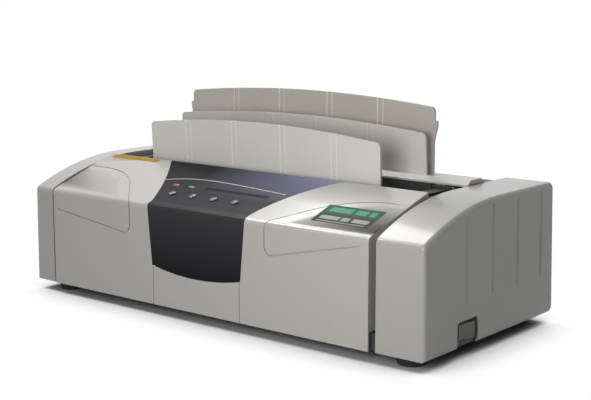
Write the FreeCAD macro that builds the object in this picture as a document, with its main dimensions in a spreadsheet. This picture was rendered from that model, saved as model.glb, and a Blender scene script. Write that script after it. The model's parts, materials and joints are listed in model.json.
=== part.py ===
import FreeCAD, Part
import os
import re
import Sketcher

# Thermal binding machine: two moulded end caps, a front cover in three panels with a dark
# control fascia, a binding trough with a heated plate, and a sliding clamp bar that carries
# two of the three paper support plates.
# Lengths are millimetres. X runs along the machine, Y to its back and Z up. The origin is on
# the table under the middle of the machine.

SIZES = {
    # Whole shell
    "overall_length": 500.0,
    "cap_depth": 224.8,
    "foot_height": 10.5,
    # End caps
    "left_cap_width": 28.5,
    "right_cap_width": 51.2,
    "cap_front_height": 100.3,
    "cap_rear_height": 128.0,
    "cap_arch_run": 120.6,
    "cap_wall": 3.0,
    "cap_inner_wall": 2.0,
    "cap_side_draft": 0.72,
    "cap_rear_lean": 2.5,
    "cap_front_round": 6.0,
    "cap_rear_round": 7.0,
    "cap_edge_round": 3.5,
    "flute_width": 10.0,
    "flute_depth": 1.6,
    "flute_foot": 42.5,
    "flute_top_margin": 7.0,
    "flute_set": 65.5,
    "flute_pitch": 43.8,
    "cap_screw_front_set": 60.0,
    "cap_screw_rear_set": 59.8,
    "left_cap_screw_inset": 14.0,
    "right_cap_screw_inset": 34.0,
    # Front cover, its two wings and the apron
    "cover_proud": 1.5,
    "cover_run": 85.2,
    "cover_front_height": 100.8,
    "cover_rear_height": 129.9,
    "cover_wall": 2.5,
    "cover_edge_round": 6.0,
    "cover_skirt_height": 24.0,
    "cover_left_front_gap": 3.5,
    "cover_left_rear_gap": 1.3,
    "cover_right_front_gap": 6.8,
    "cover_right_rear_gap": 3.3,
    "cover_screw_set": 14.0,
    "cover_screw_inset": 16.0,
    "cover_screw_spread": 104.0,
    "seam_gap": 0.4,
    "apron_half_width": 57.0,
    "apron_pad_length": 12.0,
    "apron_pad_height": 9.0,
    "apron_pad_spread": 35.0,
    "decor_width": 1.2,
    "decor_depth": 0.6,
    "decor_corner_radius": 8.0,
    "decor_straight_run": 30.0,
    "decor_line_length": 101.0,
    "decor_left_set": 25.6,
    "decor_left_top_set": 56.0,
    "decor_left_knee_height": 76.2,
    "decor_left_slope": 7.2,
    "decor_right_set": 24.6,
    "decor_right_top_set": 59.5,
    "decor_right_knee_height": 78.5,
    "decor_right_slope": 12.5,
    # Control fascia
    "fascia_offset": 13.7,
    "fascia_fold": 8.0,
    "fascia_front_half_width": 63.7,
    "fascia_foot_half_width": 57.8,
    "fascia_rear_half_width": 114.5,
    "fascia_left_bow": 4.0,
    "fascia_right_bow": 10.5,
    "fascia_foot_height": 40.3,
    "fascia_foot_bow": 6.3,
    # Buttons, lamps and display
    "button_radius": 3.9,
    "button_clearance": 0.08,
    "button_proud": 1.6,
    "button_rim": 0.8,
    "button_flange_radius": 5.2,
    "button_flange": 1.0,
    "button_stem_radius": 1.8,
    "button_travel": 1.0,
    "button_rest_gap": 0.2,
    "button_first_set": 52.6,
    "button_pitch": 27.8,
    "button_along": 26.0,
    "lamp_length": 8.0,
    "lamp_width": 3.4,
    "lamp_proud": 0.3,
    "lamp_along": 43.5,
    "red_lamp_set": 62.8,
    "green_lamp_set": 42.0,
    "lamp_clearance": 0.1,
    "window_length": 81.0,
    "window_width": 4.6,
    "window_set": 18.5,
    "window_recess": 0.3,
    "window_thickness": 1.4,
    "display_margin": 2.4,
    "board_depth": 12.5,
    "board_thickness": 1.6,
    "board_length": 136.0,
    "board_width": 46.0,
    "board_along": 18.0,
    "board_post_radius": 3.0,
    "board_post_inset": 4.5,
    "key_switch_size": 6.2,
    "key_switch_height": 3.5,
    "buzzer_radius": 6.0,
    "buzzer_height": 7.0,
    # Base pan and feet
    "pan_set": 1.0,
    "pan_thickness": 1.5,
    "pan_flange": 14.0,
    "pan_clearance": 0.5,
    "foot_top_radius": 14.0,
    "foot_bottom_radius": 12.5,
    "foot_inset": 29.0,
    "foot_set": 24.0,
    "foot_recess_radius": 5.0,
    "foot_recess": 5.0,
    "foot_screw_radius": 2.0,
    "foot_screw_head_radius": 3.8,
    "foot_screw_head": 2.4,
    "screw_radius": 1.5,
    "screw_head_radius": 2.8,
    "screw_head": 1.8,
    "screw_bite": 8.0,
    "screw_clearance": 0.05,
    "post_radius": 4.0,
    # Side frames
    "frame_gap": 1.0,
    "frame_thickness": 1.5,
    "frame_set": 9.5,
    "frame_run": 16.5,
    "frame_flange": 12.0,
    "frame_screw_inset": 24.0,
    "frame_ear_width": 24.0,
    "frame_ear_half_height": 11.0,
    # Trough liner and its well
    "liner_set": 86.0,
    "liner_run": 4.0,
    "liner_gap": 0.6,
    "deck_height": 122.0,
    "deck_thickness": 2.5,
    "well_front_set": 94.0,
    "well_width": 57.0,
    "well_length": 345.0,
    "well_floor_height": 72.5,
    "well_wall": 2.0,
    "well_ledge": 8.0,
    "slot_width": 9.0,
    "slot_margin": 2.0,
    # Heater
    "heating_plate_thickness": 4.0,
    "heating_plate_clearance": 0.5,
    "element_length": 290.0,
    "element_clearance": 1.0,
    "insulation_thickness": 6.0,
    "insulation_width": 44.0,
    "insulation_length": 296.0,
    "clamp_sheet": 1.2,
    "clamp_sheet_gap": 0.3,
    "clamp_flange": 6.4,
    "well_screw_bite": 3.2,
    "plate_screw_spread": 110.0,
    "thermostat_radius": 7.5,
    "thermostat_height": 8.0,
    "fuse_radius": 2.0,
    "fuse_length": 12.0,
    "sensor_length": 12.0,
    "sensor_depth": 5.0,
    "sensor_height": 14.0,
    "sensor_drop": 30.0,
    "sensor_hole_radius": 2.0,
    # Support plates
    "plate_offset": 14.3,
    "plate_thickness": 2.5,
    "plate_corner": 5.0,
    "channel_width": 6.5,
    "channel_depth": 0.5,
    "channel_pitch": 64.0,
    "front_plate_width": 301.0,
    "front_plate_height": 177.2,
    "front_plate_drop": 9.0,
    "front_plate_lean": 2.4,
    "front_plate_lift": 1.5,
    "clamp_plate_width": 324.0,
    "clamp_plate_height": 181.3,
    "clamp_plate_drop": 8.5,
    "clamp_plate_lean": 3.4,
    "rack_plate_width": 321.0,
    "rack_plate_height": 205.3,
    "rack_plate_drop": 8.6,
    "rack_ear": 3.6,
    "rack_ear_top": 184.0,
    "rack_ear_foot": 163.0,
    "rack_ear_lip": 5.0,
    # Clamp bar and jaw
    "bar_set": 3.5,
    "bar_depth": 30.0,
    "bar_height": 126.6,
    "bar_lip": 1.8,
    "bar_bevel_run": 5.8,
    "bar_bevel_rise": 4.3,
    "bar_gap": 0.8,
    "bar_groove": 3.0,
    "groove_clearance": 0.1,
    "clamp_plate_inset": 0.6,
    "rack_plate_inset": 0.6,
    "jaw_inset": 0.4,
    "jaw_thickness": 2.0,
    "jaw_end_gap": 4.0,
    "jaw_lift": 5.5,
    "jaw_flange": 16.0,
    "jaw_screw_spread": 140.0,
    "clamp_travel": 48.0,
    # Slides
    "rod_radius": 4.0,
    "rod_clearance": 0.05,
    "rod_drop": 16.0,
    "rod_reach": 3.5,
    "clip_thickness": 1.0,
    "clip_radius": 6.0,
    "block_width": 18.0,
    "block_length": 24.0,
    "block_height": 18.0,
    "bush_radius": 6.0,
    "bush_clearance": 0.04,
    "neck_width": 5.0,
    "neck_length": 16.0,
    "pad_width": 14.0,
    "pad_length": 28.0,
    "pad_thickness": 1.5,
    # Rear housing
    "rear_height": 124.0,
    "rear_inset": 4.5,
    "rear_wall": 2.5,
    "rear_round": 6.0,
    "rear_lip": 4.0,
    "rear_screw_bite": 6.0,
    "rear_screw_spread": 150.0,
    "vent_width": 3.0,
    "vent_height": 34.0,
    "vent_pitch": 9.0,
    "vent_foot": 56.0,
    "vent_start": 150.0,
    # Mains inlet and power switch
    "inlet_set": 60.0,
    "inlet_height": 34.0,
    "inlet_flange_length": 48.0,
    "inlet_flange_height": 23.0,
    "inlet_flange": 2.4,
    "inlet_body_length": 27.0,
    "inlet_body_height": 19.6,
    "inlet_body_depth": 22.0,
    "inlet_mouth_length": 24.4,
    "inlet_mouth_height": 16.8,
    "inlet_mouth_depth": 17.0,
    "inlet_clearance": 0.3,
    "inlet_screw_spread": 20.0,
    "pin_length": 11.0,
    "pin_width": 4.0,
    "pin_thickness": 2.0,
    "pin_spread": 7.0,
    "pin_rise": 2.0,
    "notch_set": 52.0,
    "notch_length": 34.0,
    "notch_height": 24.5,
    "notch_round": 4.0,
    "bezel_margin": 3.0,
    "bezel_thickness": 2.5,
    "switch_body_length": 27.6,
    "switch_body_height": 17.4,
    "switch_body_depth": 18.0,
    "switch_lift": 2.5,
    "rocker_length": 23.4,
    "rocker_height": 14.6,
    "rocker_gap": 0.5,
    "rocker_rise": 2.2,
    "rocker_valley": 0.8,
    "rocker_root": 4.5,
    "rocker_pivot_depth": 2.5,
    "rocker_tilt": 7.0,
    "rocker_root_share": 0.9,
    "rocker_room": 5.5,
    "rocker_pin_length": 15.0,
    "rocker_pin_radius": 1.2,
    "bezel_lift": 0.2,
    "rocker_pin_clearance": 0.05,
    # Power board
    "power_board_length": 150.0,
    "power_board_width": 54.0,
    "power_board_set": 4.8,
    "power_board_offset": 23.8,
    "standoff_height": 8.0,
    "standoff_radius": 3.0,
    "standoff_inset": 6.0,
    "core_length": 46.0,
    "core_width": 30.0,
    "core_height": 38.0,
    "coil_length": 26.0,
    "coil_width": 44.0,
    "coil_height": 26.0,
    "core_set": 14.0,
    "relay_length": 29.0,
    "relay_width": 13.0,
    "relay_height": 24.0,
    "relay_set": 70.0,
    "sink_length": 36.0,
    "sink_width": 16.0,
    "sink_height": 30.0,
    "sink_base": 3.0,
    "sink_fin": 1.5,
    "sink_set": 106.0,
    "capacitor_radius": 6.0,
    "capacitor_height": 22.0,
    "capacitor_set": 76.0,
    "capacitor_pitch": 15.0,
    "part_edge": 6.0,
    # Labels
    "label_thickness": 0.15,
    "strip_start": 6.5,
    "strip_length": 68.0,
    "strip_width": 6.5,
    "strip_edge": 1.6,
    "badge_length": 63.0,
    "badge_width": 31.5,
    "badge_edge": 12.0,
    "badge_along": 15.0,
    # Leads
    "lead_radius": 1.6,
    "lead_bend": 8.0,
    "lead_pitch": 5.0,
    "lead_inlet_run": 11.0,
    "lead_board_inset": 4.0,
    "lead_switch_reach": 55.0,
    "lead_switch_row": 12.0,
    "lead_heater_drop": 26.0,
    "lead_heater_row": 4.0,
    "lead_heater_inset": 15.0,
    "lead_control_along": 45.0,
    "lead_control_set": 65.0,
    "lead_overlap": 2.0,
    "lead_gap": 0.7,
    # Cut overrun
    "overrun": 5.0,
}

doc = FreeCAD.newDocument("thermal_binding_machine")
sheet = doc.addObject("Spreadsheet::Sheet", "Sizes")
for row, (alias, value) in enumerate(SIZES.items(), start=1):
    sheet.set(f"A{row}", alias)
    sheet.set(f"B{row}", str(value))
    sheet.setAlias(f"B{row}", alias)
doc.recompute()

WORD = re.compile(r"[a-z][a-z_]*")
AXES = {"x": FreeCAD.Vector(1, 0, 0), "y": FreeCAD.Vector(0, 1, 0), "z": FreeCAD.Vector(0, 0, 1)}
NODES = []


def bound(text):
    """Name each size in an expression by its cell."""
    return WORD.sub(lambda word: "Sizes." + word.group() if word.group() in SIZES else word.group(), text)


def number(text):
    """Work out an expression from the sheet."""
    return float(sheet.evalExpression(bound(text)))


def place(item, x="0", y="0", z="0"):
    """Bind where an object stands."""
    for axis, text in (("x", x), ("y", y), ("z", z)):
        if text != "0":
            item.setExpression(f"Placement.Base.{axis}", bound(text))
    return item


def node(item, label):
    """Keep an object as a sub-part under its own name."""
    item.Label = label
    NODES.append(item)
    return item


def block(label, start, size):
    """A box from its low corner and its three sizes."""
    item = doc.addObject("Part::Box", label)
    for side, text in zip(("Length", "Width", "Height"), size):
        item.setExpression(side, bound(text))
    return place(item, *start)


def cylinder(label, start, radius, length, along="z"):
    """A cylinder from the middle of its first end, along one axis."""
    item = doc.addObject("Part::Cylinder", label)
    item.setExpression("Radius", bound(radius))
    item.setExpression("Height", bound(length))
    item.Placement.Rotation = FreeCAD.Rotation(AXES["z"], AXES[along])
    return place(item, *start)


def ball(label, start, radius):
    """A sphere about its middle."""
    item = doc.addObject("Part::Sphere", label)
    item.setExpression("Radius", bound(radius))
    return place(item, *start)


def fuse(label, *shapes):
    """One solid from several that touch."""
    item = doc.addObject("Part::MultiFuse", label)
    item.Shapes = list(shapes)
    return item


def cut(label, base, *tools):
    """A solid less one or more others."""
    item = doc.addObject("Part::Cut", label)
    item.Base = base
    item.Tool = tools[0] if len(tools) == 1 else fuse(label + "_tools", *tools)
    return item


def common(label, *shapes):
    """What several solids share."""
    item = doc.addObject("Part::MultiCommon", label)
    item.Shapes = list(shapes)
    return item


def group(label, *shapes):
    """Separate solids in one sub-part."""
    item = doc.addObject("Part::Compound", label)
    item.Links = list(shapes)
    return item


def draw(sketch, corners):
    """Draw a closed outline. A corner is (across, up), or (across, up, middle across, middle up)
    where an arc through the middle point leads to it."""
    spots = [FreeCAD.Vector(number(corner[0]), number(corner[1]), 0) for corner in corners]
    ends = []
    for index, corner in enumerate(corners):
        start = spots[index - 1]
        if len(corner) == 2:
            edge = sketch.addGeometry(Part.LineSegment(start, spots[index]), False)
            ends.append((edge, 1, 2))
            continue
        middle = FreeCAD.Vector(number(corner[2]), number(corner[3]), 0)
        left_turn = (middle - start).cross(spots[index] - middle).z > 0
        edge = sketch.addGeometry(arc_between(start, middle, spots[index], left_turn), False)
        ends.append((edge, 1, 2) if left_turn else (edge, 2, 1))
        point = sketch.addGeometry(Part.Point(middle), True)
        sketch.addConstraint(Sketcher.Constraint("PointOnObject", point, 1, edge))
        pin_point(sketch, point, 1, corner[2], corner[3])
    for index, corner in enumerate(corners):
        edge, _, last = ends[index]
        following, first, _ = ends[(index + 1) % len(corners)]
        sketch.addConstraint(Sketcher.Constraint("Coincident", edge, last, following, first))
        pin_point(sketch, edge, last, corner[0], corner[1])


def arc_between(start, middle, end, left_turn):
    """The arc through three points. A sketch keeps its arcs turning to the left."""
    centre = Part.Circle(start, middle, end).Center
    circle = Part.Circle(centre, AXES["z"], (start - centre).Length)
    first, last = (start, end) if left_turn else (end, start)
    return Part.ArcOfCircle(circle, circle.parameter(first), circle.parameter(last))


def pin_point(sketch, edge, end, across, up):
    """Bind one point of a sketch to its two distances from the origin."""
    for kind, text in (("DistanceX", across), ("DistanceY", up)):
        index = sketch.addConstraint(Sketcher.Constraint(kind, -1, 1, edge, end, number(text)))
        sketch.setExpression(f"Constraints[{index}]", bound(text))


def sketch_on(body, plane, corners, label):
    """A sketch on one of a body's own origin planes."""
    sketch = body.newObject("Sketcher::SketchObject", label)
    face = next(part for part in body.Origin.OriginFeatures if part.Role == plane)
    sketch.AttachmentSupport = [(face, "")]
    sketch.MapMode = "FlatFace"
    draw(sketch, corners)
    return sketch


def prism(label, normal, corners, start, length):
    """A body padded along one axis. Its outline is in the other two axes."""
    plane = {"x": "YZ_Plane", "y": "XZ_Plane", "z": "XY_Plane"}[normal]
    body = doc.addObject("PartDesign::Body", label)
    pad = body.newObject("PartDesign::Pad", label + "_pad")
    pad.Profile = sketch_on(body, plane, corners, label + "_sketch")
    pad.Reversed = normal == "y"
    pad.setExpression("Length", bound(length))
    body.Tip = pad
    return place(body, **{normal: start})


def turned(label, corners):
    """A body of revolution about its own upright axis."""
    body = doc.addObject("PartDesign::Body", label)
    sketch = sketch_on(body, "XZ_Plane", corners, label + "_sketch")
    spin = body.newObject("PartDesign::Revolution", label + "_turn")
    spin.Profile = sketch
    spin.ReferenceAxis = (sketch, ["V_Axis"])
    spin.Angle = 360
    body.Tip = spin
    return body


def nearest_edge(shape, along, **spot):
    """The name of the straight edge along an axis whose middle lies nearest a place."""
    best = None
    for index, edge in enumerate(shape.Edges, start=1):
        if edge.Curve.TypeId != "Part::GeomLine":
            continue
        if abs(edge.tangentAt(edge.FirstParameter).dot(AXES[along])) < 0.99:
            continue
        middle = edge.CenterOfMass
        miss = sum((getattr(middle, axis) - number(text)) ** 2 for axis, text in spot.items())
        if best is None or miss < best[0]:
            best = (miss, f"Edge{index}")
    return best[1]


def fillet(body, names, radius, label):
    """Round named edges of a body's last feature."""
    base = body.Tip
    item = body.newObject("PartDesign::Fillet", label)
    item.Base = (base, names)
    item.setExpression("Radius", bound(radius))
    body.Tip = item
    doc.recompute()
    return item


# Planes and lines that the pieces share
CAP_FRONT = "((cover_proud - cap_depth) / 2)"
CAP_REAR = "((cover_proud + cap_depth) / 2)"
COVER_FRONT = "(-(cover_proud + cap_depth) / 2)"
COVER_REAR = f"({CAP_FRONT} + cover_run)"
SHELL = "foot_height"
LEFT_END = "(-overall_length / 2)"
RIGHT_END = "(overall_length / 2)"
LEFT_INNER = f"({LEFT_END} + left_cap_width)"
RIGHT_INNER = f"({RIGHT_END} - right_cap_width)"
MIDDLE = f"(({LEFT_INNER} + {RIGHT_INNER}) / 2)"
PAN_TOP = f"({SHELL} + pan_set + pan_thickness)"
PAN_FRONT = f"({CAP_FRONT} + cap_wall + pan_clearance)"
PAN_REAR = f"({CAP_REAR} - rear_inset - rear_wall - pan_clearance)"
SLOPE = "((cover_rear_height - cover_front_height) / (cover_run + cover_proud))"
SLANT = f"sqrt(1 + {SLOPE}^2)"
DECK_TOP = f"({SHELL} + deck_height)"
DECK_UNDER = f"({DECK_TOP} - deck_thickness)"
WELL_FRONT = f"({CAP_FRONT} + well_front_set)"
WELL_REAR = f"({WELL_FRONT} + well_width)"
WELL_LEFT = f"({MIDDLE} - well_length / 2)"
WELL_FLOOR = f"({SHELL} + well_floor_height)"
BAR_FRONT = f"({WELL_REAR} - bar_set)"
BAR_UNDER = f"({SHELL} + bar_height)"
BAR_TOP = f"({BAR_UNDER} + bar_lip + bar_bevel_rise)"
LINER_FRONT = f"({CAP_FRONT} + liner_set)"
LINER_REAR = f"({BAR_FRONT} + bar_depth + liner_run)"
PLATE_MIDDLE = "(-plate_offset)"
FASCIA_MIDDLE = "(-fascia_offset)"
ROD_LEVEL = f"({DECK_UNDER} - rod_drop)"
LEFT_RAIL = f"(({LEFT_INNER} + frame_gap + frame_thickness + {WELL_LEFT} - well_wall) / 2)"
RIGHT_RAIL = f"(({RIGHT_INNER} - frame_gap - frame_thickness + {WELL_LEFT} + well_length + well_wall) / 2)"
BLOCK_MIDDLE = f"({BAR_FRONT} + bar_depth / 2)"
ROD_FRONT = f"({BLOCK_MIDDLE} - clamp_travel - block_length / 2 - rod_reach)"
ROD_REAR = f"({BLOCK_MIDDLE} + block_length / 2 + rod_reach)"
FRAME_FRONT = f"({ROD_FRONT} - frame_thickness - frame_set)"
FRAME_REAR = f"({ROD_REAR} + frame_thickness + frame_run)"


def screw(label, spot, bite="screw_bite", along="z", backwards=False):
    """A round-headed screw. Its head meets its seat at a spot and its shank goes on along an axis,
    or back along it."""
    head = list(spot)
    shank = list(spot)
    axis = "xyz".index(along)
    if backwards:
        shank[axis] = f"({spot[axis]} - {bite})"
    else:
        head[axis] = f"({spot[axis]} - screw_head)"
    return fuse(
        label,
        cylinder(label + "_head", head, "screw_head_radius", "screw_head", along),
        cylinder(label + "_shank", shank, "screw_radius", bite, along),
    )


def screw_hole(label, x, y, z, depth, along="z"):
    """The hole that a screw passes through."""
    return cylinder(label, (x, y, z), "(screw_radius + screw_clearance)", depth, along)


# Where each screw goes up through the base pan
CAP_SCREWS = [
    (side, x, y)
    for side, x in (
        ("left", f"({LEFT_END} + left_cap_screw_inset)"),
        ("right", f"({RIGHT_END} - right_cap_screw_inset)"),
    )
    for y in (f"({CAP_FRONT} + cap_screw_front_set)", f"({CAP_REAR} - cap_screw_rear_set)")
]
COVER_SCREWS = [
    (x, f"({COVER_FRONT} + cover_screw_set)")
    for x in (
        f"({LEFT_INNER} + cover_screw_inset)",
        f"({LEFT_INNER} + cover_screw_inset + cover_screw_spread)",
        f"({RIGHT_INNER} - cover_screw_inset - cover_screw_spread)",
        f"({RIGHT_INNER} - cover_screw_inset)",
    )
]
FRAME_SCREWS = [
    (x, y)
    for x in (
        f"({LEFT_INNER} + frame_gap + frame_thickness + frame_flange / 2)",
        f"({RIGHT_INNER} - frame_gap - frame_thickness - frame_flange / 2)",
    )
    for y in (f"({FRAME_FRONT} + frame_screw_inset)", f"({FRAME_REAR} - frame_screw_inset)")
]
PAN_SCREWS = [(x, y) for _, x, y in CAP_SCREWS] + COVER_SCREWS + FRAME_SCREWS
FEET = [
    (depth + "_" + side, x, y)
    for depth, y in (("front", f"({CAP_FRONT} + foot_set)"), ("rear", f"({CAP_REAR} - foot_set)"))
    for side, x in (("left", f"({LEFT_END} + foot_inset)"), ("right", f"({RIGHT_END} - foot_inset)"))
]

# How many of each repeated feature
FLUTES = 4
CHANNELS = 4
VENTS = 13
FINS = 6

# The ears for the slide rods' ends and the screws into the clamp bar
ROD_EARS = (("front", f"({ROD_FRONT} - frame_thickness)"), ("rear", ROD_REAR))
PAD_SCREWS = (
    ("front", f"({BLOCK_MIDDLE} - neck_length / 2 - screw_head_radius - screw_clearance)"),
    ("rear", f"({BLOCK_MIDDLE} + neck_length / 2 + screw_head_radius + screw_clearance)"),
)
JAW_SCREWS = [
    (f"({MIDDLE} + ({turn}) * jaw_screw_spread)",
     f"({BAR_FRONT} + jaw_inset + jaw_flange - screw_head_radius - screw_clearance)")
    for turn in (-1, 0, 1)
]
CLAMP_PLATE_FRONT = f"({BAR_FRONT} + bar_bevel_run + clamp_plate_inset)"
RACK_PLATE_FRONT = f"({BAR_FRONT} + bar_depth - bar_bevel_run - plate_thickness - rack_plate_inset)"

# What is fastened to the well
SENSOR_LEVEL = f"({DECK_TOP} - sensor_drop)"
PLATE_SCREWS = [f"({PLATE_MIDDLE} - plate_screw_spread)", f"({PLATE_MIDDLE} + plate_screw_spread)"]
CLAMP_MIDDLE = f"({WELL_FRONT} + well_width / 2)"
CLAMP_HALF = "(insulation_width / 2 + clamp_sheet_gap + clamp_sheet)"
HEATER_SCREWS = [
    (f"({MIDDLE} + ({sign}) * element_length / 3)",
     f"({CLAMP_MIDDLE} + ({row}) * ({CLAMP_HALF} + clamp_flange / 2))")
    for sign in (-1, 1)
    for row in (-1, 1)
]

# The mains inlet, the power board, the rear screws and the power switch
INLET_X = f"({RIGHT_INNER} - inlet_set)"
INLET_Z = f"({SHELL} + inlet_height)"
INLET_SCREWS = (
    ("inlet_left", f"({INLET_X} - inlet_screw_spread)"),
    ("inlet_right", f"({INLET_X} + inlet_screw_spread)"),
)
POWER_BOARD_RIGHT = f"({INLET_X} - power_board_offset)"
POWER_BOARD_LEFT = f"({POWER_BOARD_RIGHT} - power_board_length)"
POWER_BOARD_FRONT = f"({PAN_REAR} - power_board_set - power_board_width)"
REAR_SCREW_LEVEL = f"({PAN_TOP} + pan_flange / 2)"
REAR_SCREWS = (
    ("foot_left", f"({MIDDLE} - rear_screw_spread)"),
    ("foot_middle", MIDDLE),
    ("foot_right", f"({MIDDLE} + rear_screw_spread)"),
)
SWITCH_Y = f"({CAP_FRONT} + notch_set + notch_length / 2)"
SWITCH_Z = f"({PAN_TOP} + switch_lift + switch_body_height / 2)"
BEZEL_OUTER = f"({RIGHT_END} - cap_wall)"
PIVOT_X = f"({BEZEL_OUTER} - rocker_pivot_depth)"


def cap_outline(margin):
    """The side outline of an end cap, or of its hollow where the margin is a wall."""
    foot = SHELL if margin == "0" else f"({SHELL} - overrun)"
    rear = f"({CAP_REAR} - {margin})"
    top = f"({SHELL} + cap_rear_height - {margin})"
    brow = f"({SHELL} + cap_front_height - {margin})"
    rise = f"(({top}) - ({brow}))"
    run = f"(cap_arch_run - {margin})"
    # A point of the arch that meets the flat top without a kink
    radius = f"(({run}^2 + {rise}^2) / (2 * {rise}))"
    half = f"({run} / 2)"
    return [
        (f"({CAP_FRONT} + {margin})", foot),
        (f"({CAP_FRONT} + {margin})", brow),
        (
            f"({CAP_FRONT} + cap_arch_run)",
            top,
            f"({CAP_FRONT} + cap_arch_run - {half})",
            f"({top} - {radius} + sqrt({radius}^2 - {half}^2))",
        ),
        (f"({rear} - cap_rear_lean)", top),
        (rear, foot),
    ]


def flutes(side, sign):
    """The four upright scoops in a cap's outer face."""
    radius = "((flute_width^2 / 4 + flute_depth^2) / (2 * flute_depth))"
    face = f"({sign} * overall_length / 2)"
    tools = []
    for turn in range(FLUTES):
        label = f"{side}_flute_{turn + 1}"
        run = f"(flute_set + {turn} * flute_pitch)"
        rise = "(cap_rear_height - cap_front_height)"
        reach = f"(cap_arch_run - min({run}; cap_arch_run))"
        top = f"(cap_rear_height - {reach}^2 / cap_arch_run^2 * {rise} - flute_top_margin)"
        x = f"({face} + {sign} * ({radius} - flute_depth) / cos(cap_side_draft))"
        y = f"({CAP_FRONT} + {run})"
        shaft = cylinder(label + "_shaft", (x, y, f"({SHELL} + flute_foot)"), radius, f"({top} - flute_foot)")
        lower = ball(label + "_lower", (x, y, f"({SHELL} + flute_foot)"), radius)
        lean = f"(({top} - flute_foot) * tan(cap_side_draft))"
        shaft.Placement.Rotation = FreeCAD.Rotation(AXES["y"], 1)
        shaft.setExpression("Placement.Rotation.Angle", bound(f"-({sign}) * cap_side_draft"))
        upper = ball(label + "_upper", (f"{x} - {sign} * {lean}", y, f"({SHELL} + {top})"), radius)
        tools += [shaft, lower, upper]
    return tools


def end_cap(side, sign, outer, inner, width):
    """One moulded end cap: a hollow shell that is open below, with posts for its screws."""
    low = outer if side == "left" else inner
    body = prism(f"{side}_cap_outer", "x", cap_outline("0"), low, width)
    doc.recompute()
    draft_cap(body, side, sign)
    corners = (
        ("front", "cap_front_round", CAP_FRONT, f"({SHELL} + cap_front_height)"),
        ("rear", "cap_rear_round", f"({CAP_REAR} - cap_rear_lean)", f"({SHELL} + cap_rear_height)"),
        ("heel", "cap_rear_round", CAP_REAR, SHELL),
    )
    for name, radius, y, z in corners:
        edge = nearest_edge(body.Shape, "x", y=y, z=z)
        fillet(body, [edge], radius, f"{side}_cap_{name}_round")
    fillet(body, rim_edges(body.Shape, sign), "cap_edge_round", f"{side}_cap_edge_round")
    hollow_low = f"({outer} + cap_wall)" if side == "left" else f"({inner} + cap_inner_wall)"
    hollow = prism(
        f"{side}_cap_hollow", "x", cap_outline("cap_wall"), hollow_low,
        f"({width} - cap_wall - cap_inner_wall)",
    )
    gate_low = f"({inner} - cap_inner_wall - overrun)" if side == "left" else f"({inner} - overrun)"
    gate = block(
        f"{side}_cap_gate",
        (gate_low, f"({CAP_FRONT} + cap_wall)", f"({SHELL} - overrun)"),
        (
            "(cap_inner_wall + 2 * overrun)",
            "(cap_depth - 2 * cap_wall)",
            "(overrun + pan_set + pan_thickness + pan_flange + pan_clearance)",
        ),
    )
    posts = []
    holes = []
    for index, (owner, x, y) in enumerate(CAP_SCREWS):
        if owner == side:
            posts.append(cylinder(f"{side}_cap_post_{index}", (x, y, PAN_TOP), "post_radius",
                                  "cap_rear_height"))
            holes.append(screw_hole(f"{side}_cap_pilot_{index}", x, y, f"({PAN_TOP} - overrun)",
                                    "(screw_bite + overrun)"))
    space = cut(f"{side}_cap_space", hollow, *posts)
    tools = [space, gate] + holes + flutes(side, sign)
    if side == "right":
        tools.append(switch_notch())
    return node(cut(f"{side}_cap", body, *tools), f"{side}_end_cap")


def draft_cap(body, side, sign):
    """Lean a cap's outer side inwards towards the top."""
    ground = next(part for part in body.Origin.OriginFeatures if part.Role == "XY_Plane")
    faces = body.Shape.Faces
    outermost = max(range(len(faces)), key=lambda index: sign * faces[index].CenterOfMass.x)
    base = body.Tip
    item = body.newObject("PartDesign::Draft", f"{side}_cap_draft")
    item.Base = (base, [f"Face{outermost + 1}"])
    item.NeutralPlane = (ground, [""])
    item.setExpression("Angle", bound("cap_side_draft"))
    body.Tip = item
    doc.recompute()


def rim_edges(shape, sign):
    """The edges round a cap's outer side face."""
    outer = max(shape.Faces, key=lambda face: sign * face.CenterOfMass.x)
    names = []
    for index, edge in enumerate(shape.Edges, start=1):
        if any(edge.isSame(rim) for rim in outer.Edges):
            names.append(f"Edge{index}")
    return names


def switch_notch():
    """The notch for the power switch, open at the cap's lower edge."""
    low = f"({CAP_FRONT} + notch_set)"
    high = f"({low} + notch_length)"
    top = f"({SHELL} + notch_height)"
    foot = f"({SHELL} - overrun)"
    body = prism(
        "switch_notch", "x", [(low, foot), (low, top), (high, top), (high, foot)],
        f"({RIGHT_END} - cap_wall - overrun)", "cap_wall + 2 * overrun",
    )
    doc.recompute()
    for y in (low, high):
        edge = nearest_edge(body.Shape, "x", y=y, z=top)
        fillet(body, [edge], "notch_round", "notch_corner")
    return body


def cover_plan(grow):
    """The cover seen from above, its sides tapering, drawn in from the ends by a margin."""
    return [
        (f"({LEFT_INNER} + cover_left_front_gap + {grow})", f"({COVER_FRONT} - overrun)"),
        (f"({LEFT_INNER} + cover_left_rear_gap + {grow})", f"({COVER_REAR} + overrun)"),
        (f"({RIGHT_INNER} - cover_right_rear_gap - {grow})", f"({COVER_REAR} + overrun)"),
        (f"({RIGHT_INNER} - cover_right_front_gap - {grow})", f"({COVER_FRONT} - overrun)"),
    ]


def cover_block(label, margin):
    """The cover's solid outer form, drawn in from its front and top by a margin."""
    front = f"({COVER_FRONT} + {margin})"
    brow = f"({SHELL} + cover_front_height + {margin} * {SLOPE} - {margin} * {SLANT})"
    top = f"({SHELL} + cover_rear_height - {margin} * {SLANT})"
    body = prism(
        label, "x",
        [(front, SHELL), (front, brow), (COVER_REAR, top), (COVER_REAR, SHELL)],
        LEFT_END, "overall_length",
    )
    doc.recompute()
    edge = nearest_edge(body.Shape, "x", y=front, z=brow)
    fillet(body, [edge], f"(cover_edge_round - {margin})", label + "_edge")
    return body


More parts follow.
